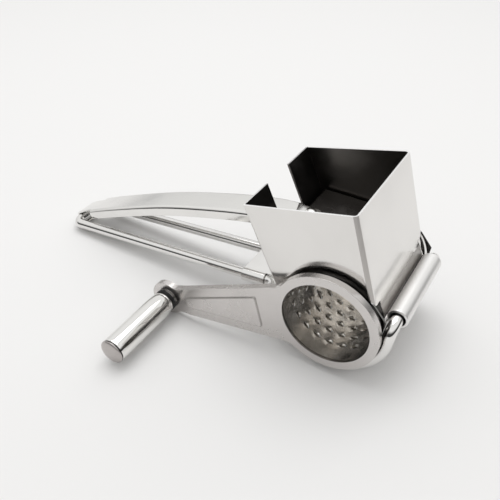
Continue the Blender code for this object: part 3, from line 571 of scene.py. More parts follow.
CAP_STEEL = metal("cap_satin", (0.50, 0.47, 0.455), (0.45, 0.42, 0.405), 0.28, 0.38, (1, 1, 1), 1700.0,
                  0.006, 0.3)
# The drum's plain sheet, tinted near white: partly its own bright polish, partly a painted highlight beside the
# painted-shade tooth hollows.
DRUM_LIT_STEEL = metal("punched_drum_lit_sheet", (0.97, 0.95, 0.92), (0.93, 0.90, 0.86), 0.16, 0.28,
                   (1, 0.1, 1), 1200.0, 0.004, 0.4, marks=120.0)
# The teeth's hollows: a darker copy of the drum sheet, painted shade in the recesses.
TOOTH_SHADE_STEEL = metal("tooth_hollows_painted_shade", (0.42, 0.39, 0.355), (0.30, 0.275, 0.25), 0.22, 0.34, (1, 0.1, 1), 1200.0,
                    0.004, 0.2)
BUSH_BLACK = plastic("black_moulded_plastic", (0.014, 0.014, 0.015), (0.022, 0.021, 0.02), 0.38, 0.55, 0.01)


def done(piece, body, nodes, look, angle=32, others=()):
    """Sets a piece's look, and says what it moves with and which CAD nodes it stands for. Each of the others is
    (look, test): faces that pass the test take that look instead."""
    smooth(piece, angle)
    piece.data.materials.clear()
    piece.data.materials.append(look)
    for face in piece.data.polygons:
        face.material_index = 0
    for i, (other, test) in enumerate(others):
        piece.data.materials.append(other)
        for face in piece.data.polygons:
            if test(face):
                face.material_index = i + 1
    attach(piece, body)
    if nodes:
        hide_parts(*nodes)
    return piece


# ---- hopper ----
def rear_face(height, depth=0.0):
    """X on the rear wall at a height, at a depth into the hopper."""
    return RIM_REAR.x + depth / cos(REAR_LEAN) + (RIM_REAR.y - height) * tan(REAR_LEAN)


def front_face(height, depth=0.0):
    return RIM_FRONT.x - depth / cos(FRONT_LEAN) + (RIM_FRONT.y - height) * tan(FRONT_LEAN)


GUARD_R = DRUM_R + 0.6
GUARD_SHEET = 0.8
GUARD_Y = (13.0, 65.5)  # between the two collars
GUARD_LOW, GUARD_HIGH = radians(13.5), radians(33)  # about the drum's axis, up from the level
FRONT_FOLD = 2.6
REAR_FOLD = 1.2
NOTCH_HALF = 10.75
NOTCH_FLOOR = 20.15
WRAP_END = atan2(ROLLER.z, ROLLER.x) - acos(SWEEP_R / hypot(ROLLER.x, ROLLER.z))  # where the wire's loops end


def passage(name, radius, start=HOPPER_FRONT - 3, end=HOPPER_BACK + 3):
    return turned(name, [(radius, start), (radius, end)], steps=160)


def inner_sheet(face):
    """Whether a face of the hopper looks into it."""
    middle = local(face.center)
    if abs(face.normal.y) > 0.7:
        return HOPPER_FRONT + 0.5 < middle.y < HOPPER_BACK - 0.5
    if face.normal.x > 0:
        return middle.x < rear_face(middle.z, SHEET / 2) + 3 and middle.x > rear_face(middle.z, SHEET / 2)
    return middle.x < front_face(middle.z, SHEET / 2) and middle.x > front_face(middle.z, SHEET / 2) - 6


# The outer folds take the painted shade.
def on_fold(face):
    """Whether a face is part of the rounded outer fold between an end wall and a side."""
    middle = local(face.center)
    return face.normal.x > 0.12 and 0.35 < abs(face.normal.y) < 0.992 and middle.x > front_face(middle.z) - 3.2


def make_hopper():
    """A box folded from sheet: the ends lean, the corners are bent round, and the rear panel is welded in."""
    low_rear = -7.5
    corners = {
        (False, True): tuple(RIM_REAR), (True, True): tuple(RIM_FRONT),
        (False, False): (rear_face(low_rear), low_rear), (True, False): (front_face(0), 0),
    }
    deselect()
    bpy.ops.mesh.primitive_cube_add(size=1)
    sheet = new_piece("hopper_sheet")
    for vert in sheet.data.vertices:
        x, z = corners[vert.co.x > 0, vert.co.z > 0]
        vert.co = at(x, HOPPER_BACK if vert.co.y > 0 else HOPPER_FRONT, z)
    edit(sheet)
    choose(sheet, "FACE", lambda face: abs(face.normal.z) > 0.8)
    bpy.ops.mesh.delete(type="ONLY_FACE")
    for front, width in ((True, FRONT_FOLD), (False, REAR_FOLD)):
        choose(sheet, "EDGE", lambda edge: abs(edge.verts[0].co.y - edge.verts[1].co.y) < MM
               and abs(edge.verts[0].co.z - edge.verts[1].co.z) > 30 * MM
               and (sum(local(v.co).x for v in edge.verts) > -10) == front)
        round_chosen(width, 8)
    turn_outwards()
    choose(sheet, "FACE", lambda face: face.normal.x < -0.7 and face.calc_area() > 1e-3)
    bpy.ops.mesh.separate(type="SELECTED")
    leave()
    panel = next(other for other in bpy.context.selected_objects if other is not sheet)
    panel.name = "hopper_rear_panel"
    for piece in (sheet, panel):
        take(piece)
        if sum((face.center - at(-10, MIDDLE, 30)).dot(face.normal) for face in piece.data.polygons) < 0:
            piece.data.flip_normals()
        thicken(piece, SHEET)
        face_out(piece)
    cut(panel, passage("drum_passage", BEARING_R))
    notch = block("lever_notch", (-90, MIDDLE - NOTCH_HALF, NOTCH_FLOOR), (0, MIDDLE + NOTCH_HALF, 70))
    cut(panel, notch)

    def wire_side(height):
        return (BEARING_R - 0.1 - height * sin(WRAP_END)) / cos(WRAP_END)

    for near in (HOPPER_FRONT, HOPPER_BACK - SHEET):
        outline = [(front_face(17, 3), 19), (front_face(17, 0.2), 17), (wire_side(9), 9), (wire_side(2.7), 2.7),
                   (0.7 * BEARING_R, 2.7)]
        boolean(sheet, plate("weld_tab", outline, near, near + SHEET), "UNION")
    below = [(front_face(13, -2), 13), (front_face(13, 3), 13), (0, 0), (front_face(-3, -2), -3)]
    wall_end = plate("wall_end", below, HOPPER_FRONT + SHEET + 1.5, HOPPER_BACK - SHEET - 1.5)
    cut(sheet, wall_end)
    lip = arc((0, 0), GUARD_R - 0.5, GUARD_LOW, GUARD_HIGH, 20)
    lip += arc((0, 0), GUARD_R + GUARD_SHEET, GUARD_HIGH, GUARD_LOW, 20)
    guard = plate("drum_guard", lip, GUARD_Y[0] - 3, GUARD_Y[1] + 3)
    boolean(sheet, guard, "UNION")
    cut(sheet, passage("drum_passage", GUARD_R))
    cut(sheet, passage("front_passage", BEARING_R, HOPPER_FRONT - 3, GUARD_Y[0]))
    cut(sheet, passage("back_passage", BEARING_R, GUARD_Y[1], HOPPER_BACK + 3))
    for piece in (sheet, panel):
        ease_edges(piece, 0.16, 3)

    # The guard's bulge takes the painted shade.
    def on_guard(face):
        middle = local(face.center)
        return hypot(middle.x, middle.z) < GUARD_R + 0.9 and middle.x > 0 and GUARD_Y[0] < middle.y < GUARD_Y[1]

    # These faces take the painted shade.
    def in_shadow(face):
        """The guard's lower edge, and the back tab, where they face the roller."""
        middle = local(face.center)
        low_edge = on_guard(face) and middle.z < 17.2 * sin(radians(22.5))
        return low_edge or (middle.y > 66 and middle.x > front_face(middle.z) + 0.05)

    # Upward rim faces take the painted highlight.
    def on_rim(face):
        return face.normal.z > 0.6 and local(face.center).z > 15

    # Painted light on the hopper: the inside, the folds and guard, and the faces by the roller take painted
    # shade; the upward rim faces take a painted highlight.
    looks = [(HOPPER_INSIDE_SHADE, inner_sheet), (BEND_SHADE_STEEL, on_fold), (BEND_SHADE_STEEL, on_guard),
             (SHADE_STEEL, in_shadow), (RIM_HIGHLIGHT_STEEL, on_rim)]
    done(sheet, "frame", ["hopper_wrap"], HOPPER_STEEL, 28, looks)
    done(panel, "frame", ["hopper_rear_wall"], HOPPER_STEEL, 28, (looks[0], looks[4]))


# ---- handle ----
ROD_SPACING = 24.8
SPREAD = Vector((-42.0, -12.0))
ROD_SLOPE = (SPREAD.y - HINGE.z) / (SPREAD.x - HINGE.x)
WRAP_START = radians(-145)


def make_handle_wire():
    """One loop of wire: crossbar, two rods, a loop under each end of the drum, and the roller's crossbar."""
    rear = Vector((HINGE.x, MIDDLE - ROD_SPACING / 2, HINGE.z))
    spread = Vector((SPREAD.x, MIDDLE - ROD_SPACING / 2, SPREAD.y))
    first = Vector((SWEEP_R * cos(WRAP_START), SIDE_Y, SWEEP_R * sin(WRAP_START)))
    lead = first - Vector((-sin(WRAP_START), 0, cos(WRAP_START))) * 6.0
    side = [(rear, 5.0), (spread, 8.0), (lead, 6.0)]
    side += [(Vector((p.x, SIDE_Y, p.y)), 0) for p in arc((0, 0), SWEEP_R, WRAP_START, WRAP_END, 72)]
    side += [(Vector((ROLLER.x, SIDE_Y, ROLLER.z)), 7.0)]
    other_side = [(Vector((p.x, 2 * MIDDLE - p.y, p.z)), bend) for p, bend in reversed(side)]
    path = rounded_path(side + other_side)
    curve = bpy.data.curves.new("handle_rod", "CURVE")
    curve.dimensions = "3D"
    curve.bevel_depth = WIRE_R * MM
    curve.bevel_resolution = 8
    spline = curve.splines.new("POLY")
    spline.points.add(len(path) - 1)
    for point, place in zip(spline.points, path):
        point.co = (*at(*place), 1)
    spline.use_cyclic_u = True
    rod = bpy.data.objects.new("handle_rod", curve)
    add_to_scene(rod)
    take(rod)
    bpy.ops.object.convert(target="MESH")
    rod = bpy.context.object
    rod.name = "handle_rod"
    face_out(rod)
    done(rod, "frame", ["handle_wire"], WIRE_STEEL, 60)


def make_rear_bracket():
    """A strap folded up against the hopper, its two sides rolled round the rods."""
    outer = WIRE_R + 1.1

    def rod_height(x):
        return SPREAD.y + (x - SPREAD.x) * ROD_SLOPE

    start = -60.5
    length = 14.0 * sqrt(1 + ROD_SLOPE**2)
    along = (1, 0, ROD_SLOPE)
    sleeves = []
    for side in (-1, 1):
        centre = (start, MIDDLE + side * ROD_SPACING / 2, rod_height(start))
        sleeve = turned("sleeve", tube_wall(WIRE_R + 0.25, outer, 0, length), centre, along, 72, tube=True)
        ease_edges(sleeve, 0.25, 3)
        sleeves.append(sleeve)
    lift = outer - 0.45
    low = Vector((start, rod_height(start) + lift))
    lean = rear_face(0, -0.5)
    t = (rod_height(lean) + lift) / (-cos(REAR_LEAN) - ROD_SLOPE * sin(REAR_LEAN))
    corner = Vector((lean + sin(REAR_LEAN) * t, -cos(REAR_LEAN) * t))
    tip = Vector((rear_face(13.0, -0.5), 13.0))
    bend = (low - corner).normalized() * 3
    fold_a = corner + bend
    fold_b = corner + (tip - corner).normalized() * 3
    path = [low, fold_a] + [fold_a * (1 - t) ** 2 + corner * 2 * t * (1 - t) + fold_b * t**2
                            for t in (0.2, 0.4, 0.6, 0.8)] + [fold_b, tip]
    strap = section("bracket_strap", low, ROD_SPACING / 2, 0.4, -0.4)
    swept(strap, path)
    close_ends(strap)
    ease_edges(strap, 0.2, 2)
    join(strap, *sleeves)
    done(strap, "frame", ["rear_bracket"], WIRE_STEEL, 35)


def make_roller():
    """A loose tube whose ends are rolled in."""
    half = 24.75
    lip = 0.55
    profile = [(3.75, -half + 0.5), (4.0, -half), (5.2 - lip, -half)]
    profile += [(5.2 - lip + lip * sin(a), -half + lip - lip * cos(a)) for a in (pi / 6, pi / 3, pi / 2)]
    profile += [(5.2 - lip + lip * sin(a), half - lip + lip * cos(a)) for a in (pi / 2, pi / 3, pi / 6)]
    profile += [(5.2 - lip, half), (4.0, half), (3.75, half - 0.5), profile[0]]
    roller = turned("roller_tube", profile, tuple(ROLLER), (0, 1, 0), 80, tube=True)
    done(roller, "roller", ["front_roller"], ROLLER_STEEL, 40)


# ---- lever and presser ----
LEVER_HALF = 10.0
TONGUE_HALF = 6.6
STRAP_HALF = 7.8
CURL_TAIL = 118  # degrees about the crossbar, where the tongue leaves it
CURL_INNER_R = WIRE_R + 0.3
CURL_R = CURL_INNER_R + HEAVY_SHEET
STRAP_TOP = 28.35
STRAP_BOTTOM = STRAP_TOP - HEAVY_SHEET
PRESSER_TOP = STRAP_BOTTOM - 0.3
PRESSER_BOTTOM = PRESSER_TOP - SHEET
SKIRT_END = 15.0
PRESS_R = 25.7
INNER_REACH = 1.1 + hypot(rear_face(SKIRT_END, SHEET) - HINGE.x, SKIRT_END - HINGE.z)
FRONT_OUT = Vector((cos(FRONT_LEAN), sin(FRONT_LEAN)))
OUTER_REACH = (RIM_FRONT - Vector((HINGE.x, HINGE.z))).dot(FRONT_OUT) - SHEET - 1.1


def presser_x(reach, height):
    return HINGE.x + sqrt(reach**2 - (height - HINGE.z) ** 2)


def lever_line():
    """The middle of the lever's top in X and Z: a gentle arch from the hinge to the hopper."""
    start = radians(CURL_TAIL)
    tail = Vector((HINGE.x + cos(start) * CURL_R, HINGE.z + sin(start) * CURL_R))
    end = Vector((presser_x(INNER_REACH, PRESSER_TOP) - 1.2, STRAP_TOP + 0.35))
    shares = ((0.0, 0.0), (0.045, 0.078), (0.21, 0.3), (0.48, 0.62), (0.735, 0.85), (0.9, 0.965), (1.0, 1.0))
    return [Vector((tail.x + (end.x - tail.x) * a, tail.y + (end.y - tail.y) * b)) for a, b in shares]


def make_lever():
    """A channel pressed from sheet, with a tongue curled round the crossbar and a flat strap in the hopper."""
    line = smooth_curve(lever_line(), 7)
    path = [p for p in line if p.x > HINGE.x + 8.5]
    channel = section("lever_channel_sheet", path[0], LEVER_HALF, -6.0, 0)
    edit(channel)
    choose(channel, "EDGE", lambda edge: all(local(v.co).z < path[0].y - 3 for v in edge.verts))
    bpy.ops.mesh.delete(type="EDGE_FACE")
    choose(channel, "VERT", lambda vert: local(vert.co).z > path[0].y - 1)
    bpy.ops.mesh.bevel(offset=2.4 * MM, segments=8, affect="VERTICES")
    leave()
    swept(channel, path)
    face_up(channel)
    thicken(channel, HEAVY_SHEET)
    face_out(channel)
    tail = path[0]
    slope = [(tail.x - 3, tail.y - 2.4), (tail.x + 12, tail.y - 8), (tail.x - 3, tail.y - 12)]
    for near in (MIDDLE - 12, MIDDLE + 6):
        cut(channel, plate("tail_cutter", slope, near, near + 6))
    ease_edges(channel, 0.22, 3, 45)

    middle_r = CURL_INNER_R + HEAVY_SHEET / 2
    count = 40
    angles = [radians(-35) + (radians(CURL_TAIL - 360) - radians(-35)) * i / count for i in range(count + 1)]
    curl = [Vector((HINGE.x + middle_r * cos(a), HINGE.z + middle_r * sin(a))) for a in angles]
    sunk = HEAVY_SHEET / 2 + 0.35
    run = [Vector((p.x, p.y - sunk)) for p in line if HINGE.x + 0.5 < p.x < HINGE.x + 22]
    tongue = section("lever_tongue", curl[0], TONGUE_HALF, 0.6, -0.6)
    swept(tongue, curl + run)
    close_ends(tongue)
    ease_edges(tongue, 0.25, 3, 60)

    end = presser_x(INNER_REACH, STRAP_TOP) + 11.0
    low = (path[-1].x - 8, MIDDLE - STRAP_HALF, STRAP_BOTTOM)
    strap = block("lever_strap", low, (end, MIDDLE + STRAP_HALF, STRAP_TOP))
    edit(strap)
    choose(strap, "EDGE", lambda edge: all(local(v.co).x > end - 0.1 for v in edge.verts)
           and abs(edge.verts[0].co.z - edge.verts[1].co.z) > 0.5 * MM)
    round_chosen(3.0, 6)
    leave()
    ease_edges(strap, 0.2, 3)
    for piece, nodes in ((channel, ["lever_channel"]), (tongue, []), (strap, [])):
        done(piece, "lever", nodes, LEVER_STEEL, 30)


def make_presser():
    """A pan that straddles the drum, with rounded corners, held under the strap by two rivets."""
    near = HOPPER_FRONT + SHEET + 0.75
    far = HOPPER_BACK - SHEET - 0.75
    corners = ((INNER_REACH, SKIRT_END), (INNER_REACH, PRESSER_TOP), (OUTER_REACH, PRESSER_TOP),
               (OUTER_REACH, SKIRT_END))
    outline = [(presser_x(reach, height), height) for reach, height in corners]
    pan = plate("presser_pan_sheet", outline, near, far)
    edit(pan)
    choose(pan, "FACE", lambda face: face.normal.z < -0.8)
    bpy.ops.mesh.delete(type="ONLY_FACE")
    choose(pan, "EDGE", lambda edge: all(local(v.co).z > SKIRT_END + 1 for v in edge.verts)
           or abs(edge.verts[0].co.z - edge.verts[1].co.z) > 5 * MM)
    round_chosen(2.0, 6)
    turn_outwards()
    leave()
    thicken(pan, SHEET)
    face_out(pan)
    arch = turned("pan_arch", [(PRESS_R, near - 3), (PRESS_R, far + 3)], steps=128)
    cut(pan, arch)
    ease_edges(pan, 0.15, 2)
    # The pan takes the painted shade.
    done(pan, "lever", ["presser_pan"], PAN_SHADE_STEEL, 30)
    x = presser_x(INNER_REACH, STRAP_TOP) + 5.5
    for i in (0, 1):
        y = MIDDLE + (i - 0.5) * 9.0
        low = PRESSER_BOTTOM - 0.1
        high = STRAP_TOP + 0.02
        profile = [(2.6, low - 0.8), (2.8, low - 0.6), (2.8, low), (1.5, low), (1.5, high), (2.8, high),
                   (2.75, high + 0.3), (2.4, high + 0.62), (1.8, high + 0.86), (1.0, high + 1.02),
                   (0.3, high + 1.08)]
        rivet = turned(f"strap_rivet_{i + 1}", profile, (x, y, 0), (0, 0, 1), 40)
        done(rivet, "lever", [f"presser_rivet_{i + 1}"], TURNED_STEEL, 40)


# ---- crank and drum ----
ARM_AT_DRUM = 20.5
ARM_AT_END = 6.7
CRANK_END_R = 9.95
CRANK_SET = 5.2


def arm_frame(s, n):
    """X and Z of a place on the crank: along the arm from the drum's axis, and across it."""
    return (-s * cos(CRANK_ANGLE) - n * sin(CRANK_ANGLE), -s * sin(CRANK_ANGLE) + n * cos(CRANK_ANGLE))


def crank_outline(inset):
    """Ring, tapering arm and round end, with filleted hollows between them."""
    taper = atan2(ARM_AT_DRUM - ARM_AT_END, CRANK_LENGTH)
    along = Vector((cos(taper), -sin(taper)))
    across = Vector((sin(taper), cos(taper)))
    end = Vector((CRANK_LENGTH, 0))
    root = 10.0 + inset
    neck = 5.0 + inset
    ring = RING_R - inset
    tip = CRANK_END_R - inset
    off_drum = ARM_AT_DRUM * cos(taper) - inset + root
    off_end = ARM_AT_END * cos(taper) - inset + neck
    root_centre = across * off_drum + along * sqrt((ring + root) ** 2 - off_drum**2)
    neck_centre = end + across * off_end - along * sqrt((tip + neck) ** 2 - off_end**2)
    to_root = atan2(root_centre.y, root_centre.x)
    to_neck = atan2(neck_centre.y - end.y, neck_centre.x - end.x)
    inward = atan2(-across.y, -across.x)
    upper = arc((0, 0), ring, pi, to_root, 56)
    upper += arc(root_centre, root, to_root + pi, inward, 10)
    upper += arc(neck_centre, neck, inward, to_neck + pi, 8)
    upper += arc(end, tip, to_neck, 0, 28)
    lower = [Vector((p.x, -p.y)) for p in upper[-2:0:-1]]
    return [arm_frame(*p) for p in upper + lower]


def make_crank_arm():
    """Ring, arm and end pressed from one sheet: edge folded back, raised panel, and the arm set outwards."""
    arm = plate("crank_pressing", crank_outline(0), 0, 3.5)
    round_rim(arm, 0, 1.3, 5)
    hollow = plate("crank_hollow", crank_outline(1.2), 1.2, 8)
    round_rim(hollow, 1.2, 0.4, 2)
    cut(arm, hollow)

    def half_width(s):
        return ARM_AT_DRUM - (ARM_AT_DRUM - ARM_AT_END) * s / CRANK_LENGTH - 5.5

    start, end = 36.0, 80.0
    corners = [(start, half_width(start)), (end, half_width(end))]
    corners += [(s, -n) for s, n in reversed(corners)]
    panel = plate("arm_panel", [arm_frame(*c) for c in corners], -0.7, 0.6)
    edit(panel)
    choose(panel, "EDGE", lambda edge: abs(edge.verts[0].co.y - edge.verts[1].co.y) > MM)
    round_chosen(1.6, 5)
    leave()
    round_rim(panel, -0.7, 0.62, 3)
    boolean(arm, panel, "UNION")
    cut(arm, passage("ring_hole", RING_HOLE_R, -4, 9))
    pin_at = (GRIP.x, 0, GRIP.z)
    cut(arm, turned("pin_hole", [(2.15, -4), (2.15, 9)], pin_at, (0, 1, 0), 40))
    along = Vector((-cos(CRANK_ANGLE), 0, -sin(CRANK_ANGLE)))
    bends = [(27.5, 0.0), (28.8, 0.05), (30.0, 0.17), (31.4, 0.36), (33.0, 0.58), (75.2, 4.68), (76.8, 4.9),
             (78.2, 5.06), (79.4, 5.16), (80.6, CRANK_SET)]
    edit(arm)
    for place, _ in bends:
        select_everything()
        bpy.ops.mesh.bisect(plane_co=tuple(AXIS + along * place * MM), plane_no=tuple(along))
    leave()
    for vert in arm.data.vertices:
        s = (vert.co - AXIS).dot(along) / MM
        out = 0.0 if s < bends[0][0] else CRANK_SET
        for (s_a, o_a), (s_b, o_b) in zip(bends, bends[1:]):
            if s_a <= s <= s_b:
                out = o_a + (o_b - o_a) * (s - s_a) / (s_b - s_a)
        vert.co.y -= out * MM
    face_out(arm)
    ease_edges(arm, 0.14, 2, 42)

    def panel_side(face):
        """The panel's sloping sides."""
        middle = face.center - AXIS
        s = middle.dot(along) / MM
        n = abs(middle.dot(Vector((-sin(CRANK_ANGLE), 0, cos(CRANK_ANGLE))))) / MM
        inside = start - 1.2 < s < end + 1 and n < half_width(s) + 1.0
        return inside and -0.985 < face.normal.y < 0.2 and abs(face.normal.dot(along)) < 0.99 and middle.y < 0

    # The panel's sloping sides take the painted shade.
    done(arm, "crank", ["crank_arm"], CRANK_STEEL, 26, [(BEND_SHADE_STEEL, panel_side)])


SEAM_ANGLE = radians(-40.0)
TOOTH_HALF = (2.75, 1.75)  # round the drum and along it
DRUM_SHEET = 0.5
DRUM_MIDDLE_R = DRUM_R - 0.25


def make_drum_shell():
    """Punched sheet: a raised, half-open tooth on a small cell, repeated both ways, rolled and seamed."""
    columns, pairs = 20, 4
    pitch_y = 7.0
    start_y = 8.6
    turn = 2 * pi / columns
    pitch_x = turn * DRUM_MIDDLE_R
    heights = {2: 0.0, 1: 0.5, 0: 0.75}

    def in_opening(face):
        middle = face.calc_center_median() / MM
        return middle.x > 1.75 and hypot(middle.x / TOOTH_HALF[0], middle.y / TOOTH_HALF[1]) < 0.97

    def cell(name, punched):
        deselect()
        bpy.ops.mesh.primitive_grid_add(x_subdivisions=6, y_subdivisions=6, size=6)
        piece = new_piece(name)
        for vert in piece.data.vertices:
            i, j = round(vert.co.x), round(vert.co.y)
            ring = max(abs(i), abs(j))
            x, y, z = i / 6 * pitch_x, j / 6 * pitch_y, 0.0
            if punched and ring < 3:
                angle = atan2(j, i)
                x = ring / 2 * TOOTH_HALF[0] * cos(angle)
                y = ring / 2 * TOOTH_HALF[1] * sin(angle)
                if ring == 1 and i == 1:
                    x = 2.5 - 0.5 * abs(j)
                    y *= 1.2
                lift = 1.0 + 0.6 * cos(angle) if ring else 1.0
                z = heights[ring] * lift
            vert.co = Vector((x, y, z)) * MM
        if punched:
            edit(piece)
            choose(piece, "FACE", in_opening)
            bpy.ops.mesh.delete(type="FACE")
            leave()
        return piece

    tooth = cell("tooth_cell", True)
    repeat(tooth, columns - 1, (pitch_x, 0, 0))
    plain = cell("plain_cell", False)
    take(plain)
    bpy.ops.transform.translate(value=((columns - 1) * pitch_x * MM, 0, 0))
    bpy.ops.object.transform_apply(location=True, rotation=True, scale=True)
    join(tooth, plain)
    second = tooth.copy()
    second.data = tooth.data.copy()
    add_to_scene(second)

    def roll(piece, shift, y):
        for vert in piece.data.vertices:
            angle = vert.co.x / MM / DRUM_MIDDLE_R + SEAM_ANGLE + turn + shift
            radius = DRUM_MIDDLE_R + vert.co.z / MM
            vert.co = at(radius * cos(angle), vert.co.y / MM + y, radius * sin(angle))

    roll(tooth, 0.0, start_y + pitch_y / 2)
    roll(second, turn / 2, start_y + pitch_y * 1.5)
    join(tooth, second)
    tooth.name = "drum_shell_punched"
    tooth.data.name = "drum_shell_punched"
    repeat(tooth, pairs, (0, 2 * pitch_y, 0))
    edit(tooth)
    bpy.ops.mesh.remove_doubles(threshold=0.02 * MM)
    end_y = start_y + 2 * pairs * pitch_y
    for edge_y, far_y in ((start_y, 1.6), (end_y, 69.6)):
        choose(tooth, "EDGE", lambda edge: all(abs(local(v.co).y - edge_y) < 0.02 for v in edge.verts))
        extrude((0, (far_y - edge_y) * MM, 0))
    turn_outwards()
    leave()
    if sum((face.center - AXIS).dot(face.normal) - (face.center.y - AXIS.y) * face.normal.y
           for face in tooth.data.polygons) < 0:
        tooth.data.flip_normals()
    thicken(tooth, DRUM_SHEET)

    # Hollow faces of the teeth take the painted shade.
    def in_tooth(face):
        middle = local(face.center)
        out = Vector((middle.x, 0, middle.z)).normalized()
        return hypot(middle.x, middle.z) > DRUM_R - 0.44 and face.normal.dot(out) < 0

    done(tooth, "crank", ["drum_shell"], DRUM_LIT_STEEL, 34, [(TOOTH_SHADE_STEEL, in_tooth)])


def make_drum_ends():
    lip = RING_R - 1.5
    inner = DRUM_R + 0.15
    collar = [(inner, 1.5), (lip, 1.5), (lip, 2.5), (COLLAR_R, 2.5), (COLLAR_R, COLLAR_FRONT_END),
              (inner, COLLAR_FRONT_END), (inner, 1.5)]
    front = turned("drum_collar_front", collar, steps=128, tube=True)
    ease_edges(front, 0.25, 3)
    # The front collar is tinted near black: painted shade behind the crank's ring.
    done(front, "crank", ["drum_front_collar"], SHADE_STEEL)
    rear = tube_wall(inner, COLLAR_R, COLLAR_BACK_START, DRUM_END)
    rim = turned("drum_collar_rear", rear, steps=128, tube=True)
    ease_edges(rim, 0.35, 4)
    done(rim, "crank", ["drum_rear_rim"], TURNED_STEEL)
    r = 22.5
    floor = 68.9
    cap = [(0.4, floor), (0.66 * r, floor), (0.70 * r, floor + 0.25), (0.78 * r, floor + 1.95),
           (0.82 * r, floor + 2.2), (r - 0.3, floor + 2.2), (r, floor + 2.4), (r, floor + 3.1),
           (r - 0.2, floor + 3.2), (0.79 * r, floor + 3.2), (0.755 * r, floor + 2.95), (0.675 * r, floor + 1.2),
           (0.64 * r, floor + 1.0), (0.4, floor + 1.0)]
    disc = turned("drum_end_disc", cap, steps=128)
    done(disc, "crank", ["drum_rear_cap"], DRUM_LIT_STEEL)


# ---- grip ----
def make_grip():
    """A barrelled steel sleeve on a riveted pin, between a ribbed black bush and a domed cap."""
    face = GRIP.y
    on_axis = (GRIP.x, 0, GRIP.z)
    start, end = face - 3.4, face - 45.0
    along = (0, 1, 0)
    washer = turned("arm_washer", tube_wall(2.2, 5.6, face - 0.8, face - 0.3), on_axis, along, 64, tube=True)
    ease_edges(washer, 0.12, 2)
    done(washer, "crank", ["grip_washer"], TURNED_STEEL)

    ribs = [(2.25, face - 1.0), (5.9, face - 1.0), (6.3, face - 1.15), (6.4, face - 1.4), (6.3, face - 1.6),
            (5.7, face - 1.75), (5.7, face - 1.9), (6.35, face - 2.1), (6.4, face - 2.3), (6.3, face - 2.5),
            (5.7, face - 2.65), (5.7, face - 2.8), (6.2, face - 2.95), (6.2, face - 3.1), (4.7, face - 3.2),
            (4.7, face - 5.4), (2.25, face - 5.4), (2.25, face - 1.0)]
    bush = turned("grip_bush_ribbed", ribs, on_axis, along, 64, tube=True)
    done(bush, "grip", ["grip_bush"], BUSH_BLACK, 40)

    tube = [(5.05, start), (5.9, start), (6.1, start - 0.15), (6.22, start - 0.5), (6.22, start - 0.95),
            (6.1, start - 1.1), (6.1, start - 1.25), (6.3, start - 1.45), (6.5, start - 2.3), (6.7, start - 3.8),
            (6.84, start - 5.8), (6.93, start - 8.5), (6.95, start - 12.0), (6.95, end + 10.0),
            (6.93, end + 5.0), (6.86, end + 1.5), (6.8, end + 0.35), (6.6, end), (5.05, end), (5.05, start)]
    sleeve = turned("grip_sleeve", tube, on_axis, along, 96, tube=True)
    done(sleeve, "grip", ["grip_tube"], TURNED_STEEL, 35)

    liner = turned("grip_core", tube_wall(2.3, 4.75, face - 5.7, end + 3.3), on_axis, along, 48, tube=True)
    done(liner, "grip", ["grip_liner"], BUSH_BLACK, 40)

    rim = end - 0.3
    cap_r = 6.775
    cap = [(4.7, end + 1.6), (4.75, rim + 0.1), (cap_r - 0.25, rim), (cap_r, rim - 0.2), (cap_r, rim - 0.55)]
    for a in range(10, 90, 10):
        angle = radians(a)
        cap.append((cap_r * cos(angle) ** 0.85, rim - 0.6 - 1.48 * sin(angle)))
    cap.append((0.3, rim - 2.1))
    disc = turned("grip_dome_cap", cap, on_axis, along, 96)

    # The cap's edge takes painted shade, standing for the dark gap between cap and sleeve.
    def cap_edge(face):
        return local(face.center).y > rim - 0.5

    done(disc, "grip", ["grip_end_cap"], CAP_STEEL, 40, [(SHADE_STEEL, cap_edge)])

    inner_head = face + HEAVY_SHEET + 0.1
    pin = [(0.3, inner_head + 1.25), (1.6, inner_head + 1.15), (2.9, inner_head + 0.85),
           (3.9, inner_head + 0.4), (4.2, inner_head), (2.0, inner_head), (2.0, end + 3.1), (3.5, end + 3.1),
           (3.5, end + 2.0), (0.3, end + 2.0)]
    rivet = turned("grip_rivet", pin, on_axis, along, 48)
    done(rivet, "crank", ["grip_pin"], TURNED_STEEL, 40)


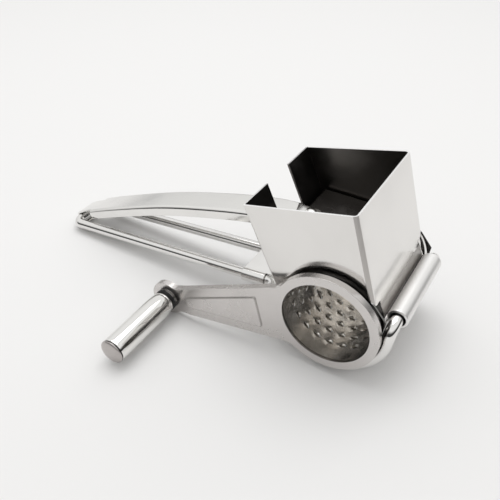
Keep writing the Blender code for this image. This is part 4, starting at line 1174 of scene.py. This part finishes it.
# ---- table, light and camera ----
def make_stage():
    deselect()
    bpy.ops.mesh.primitive_plane_add(size=8.0)
    table = bpy.context.object
    table.name = "table_top"
    look, _tree, shader = new_look("pale_table")
    shader.inputs["Base Color"].default_value = (0.80, 0.795, 0.79, 1)
    shader.inputs["Roughness"].default_value = 0.9
    shader.inputs["Specular IOR Level"].default_value = 0.1
    table.data.materials.append(look)

    world = bpy.context.scene.world or bpy.data.worlds.new("studio")
    bpy.context.scene.world = world
    world.use_nodes = True
    tree = world.node_tree
    tree.nodes.clear()
    direction = tree.nodes.new("ShaderNodeTexCoord").outputs["Generated"]
    height = add_node(tree, "ShaderNodeSeparateXYZ", {"Vector": direction}).outputs["Z"]

    def sky(first, last, between):
        ramp = tree.nodes.new("ShaderNodeValToRGB")
        stops = ramp.color_ramp.elements
        stops[0].position, stops[0].color = 0.0, (first, first, first, 1)
        stops[1].position, stops[1].color = 1.0, (last, last, last, 1)
        for position, shade in between:
            stops.new(position).color = (shade, shade, shade * 0.99, 1)
        tree.links.new(height, ramp.inputs["Fac"])
        return ramp.outputs["Color"]

    window_side = sky(0.60, 0.92, ((0.05, 0.78), (0.5, 0.95)))
    window_frame = sky(0.03, 0.92, ((0.10, 0.03), (0.14, 0.80), (0.5, 0.95)))
    room_side = sky(0.05, 0.92, ((0.05, 0.05), (0.30, 0.06), (0.42, 0.50), (0.56, 0.95)))
    both = blend(tree, direction_share(tree, direction, (-0.6, 0.8, 0.0), 0.0, 0.5), room_side, window_side)
    framed = blend(tree, direction_share(tree, direction, (-0.406, 0.914, 0.0), 0.93, 0.98), both, window_frame)
    seen = add_node(tree, "ShaderNodeBackground", {"Color": framed, "Strength": 0.98})
    backdrop = add_node(tree, "ShaderNodeBackground", {"Color": (0.83, 0.83, 0.825, 1), "Strength": 1.0})
    path = tree.nodes.new("ShaderNodeLightPath")
    mix = tree.nodes.new("ShaderNodeMixShader")
    tree.links.new(path.outputs["Is Camera Ray"], mix.inputs[0])
    tree.links.new(seen.outputs[0], mix.inputs[1])
    tree.links.new(backdrop.outputs[0], mix.inputs[2])
    out = tree.nodes.new("ShaderNodeOutputWorld")
    tree.links.new(mix.outputs[0], out.inputs["Surface"])

    light = bpy.data.lights.new("overhead_softbox", "AREA")
    light.shape = "RECTANGLE"
    light.size, light.size_y = 1.1, 0.9
    light.energy = 6.4
    softbox = bpy.data.objects.new("overhead_softbox", light)
    add_to_scene(softbox)
    softbox.location = (-0.15, 0.25, 1.25)
    aim = Vector(softbox.location) - Vector((0, 0.05, 0))
    softbox.rotation_euler = aim.to_track_quat("Z", "Y").to_euler()


def make_camera():
    azimuth, elevation = radians(31.164), radians(38.368)
    back = Vector((sin(azimuth) * cos(elevation), -cos(azimuth) * cos(elevation), sin(elevation)))
    data = bpy.data.cameras.new("camera")
    data.lens = 43.75
    data.sensor_width = 36.0
    data.clip_start = 0.01
    camera = bpy.data.objects.new("camera", data)
    add_to_scene(camera)
    camera.location = (0.15485, -0.2027, 0.2379)
    camera.rotation_euler = back.to_track_quat("Z", "Y").to_euler()
    bpy.context.scene.camera = camera


make_camera()
make_stage()
bpy.context.scene.view_settings.view_transform = "Standard"
make_hopper()
make_handle_wire()
make_rear_bracket()
make_roller()
make_lever()
make_presser()
make_crank_arm()
make_drum_shell()
make_drum_ends()
make_grip()
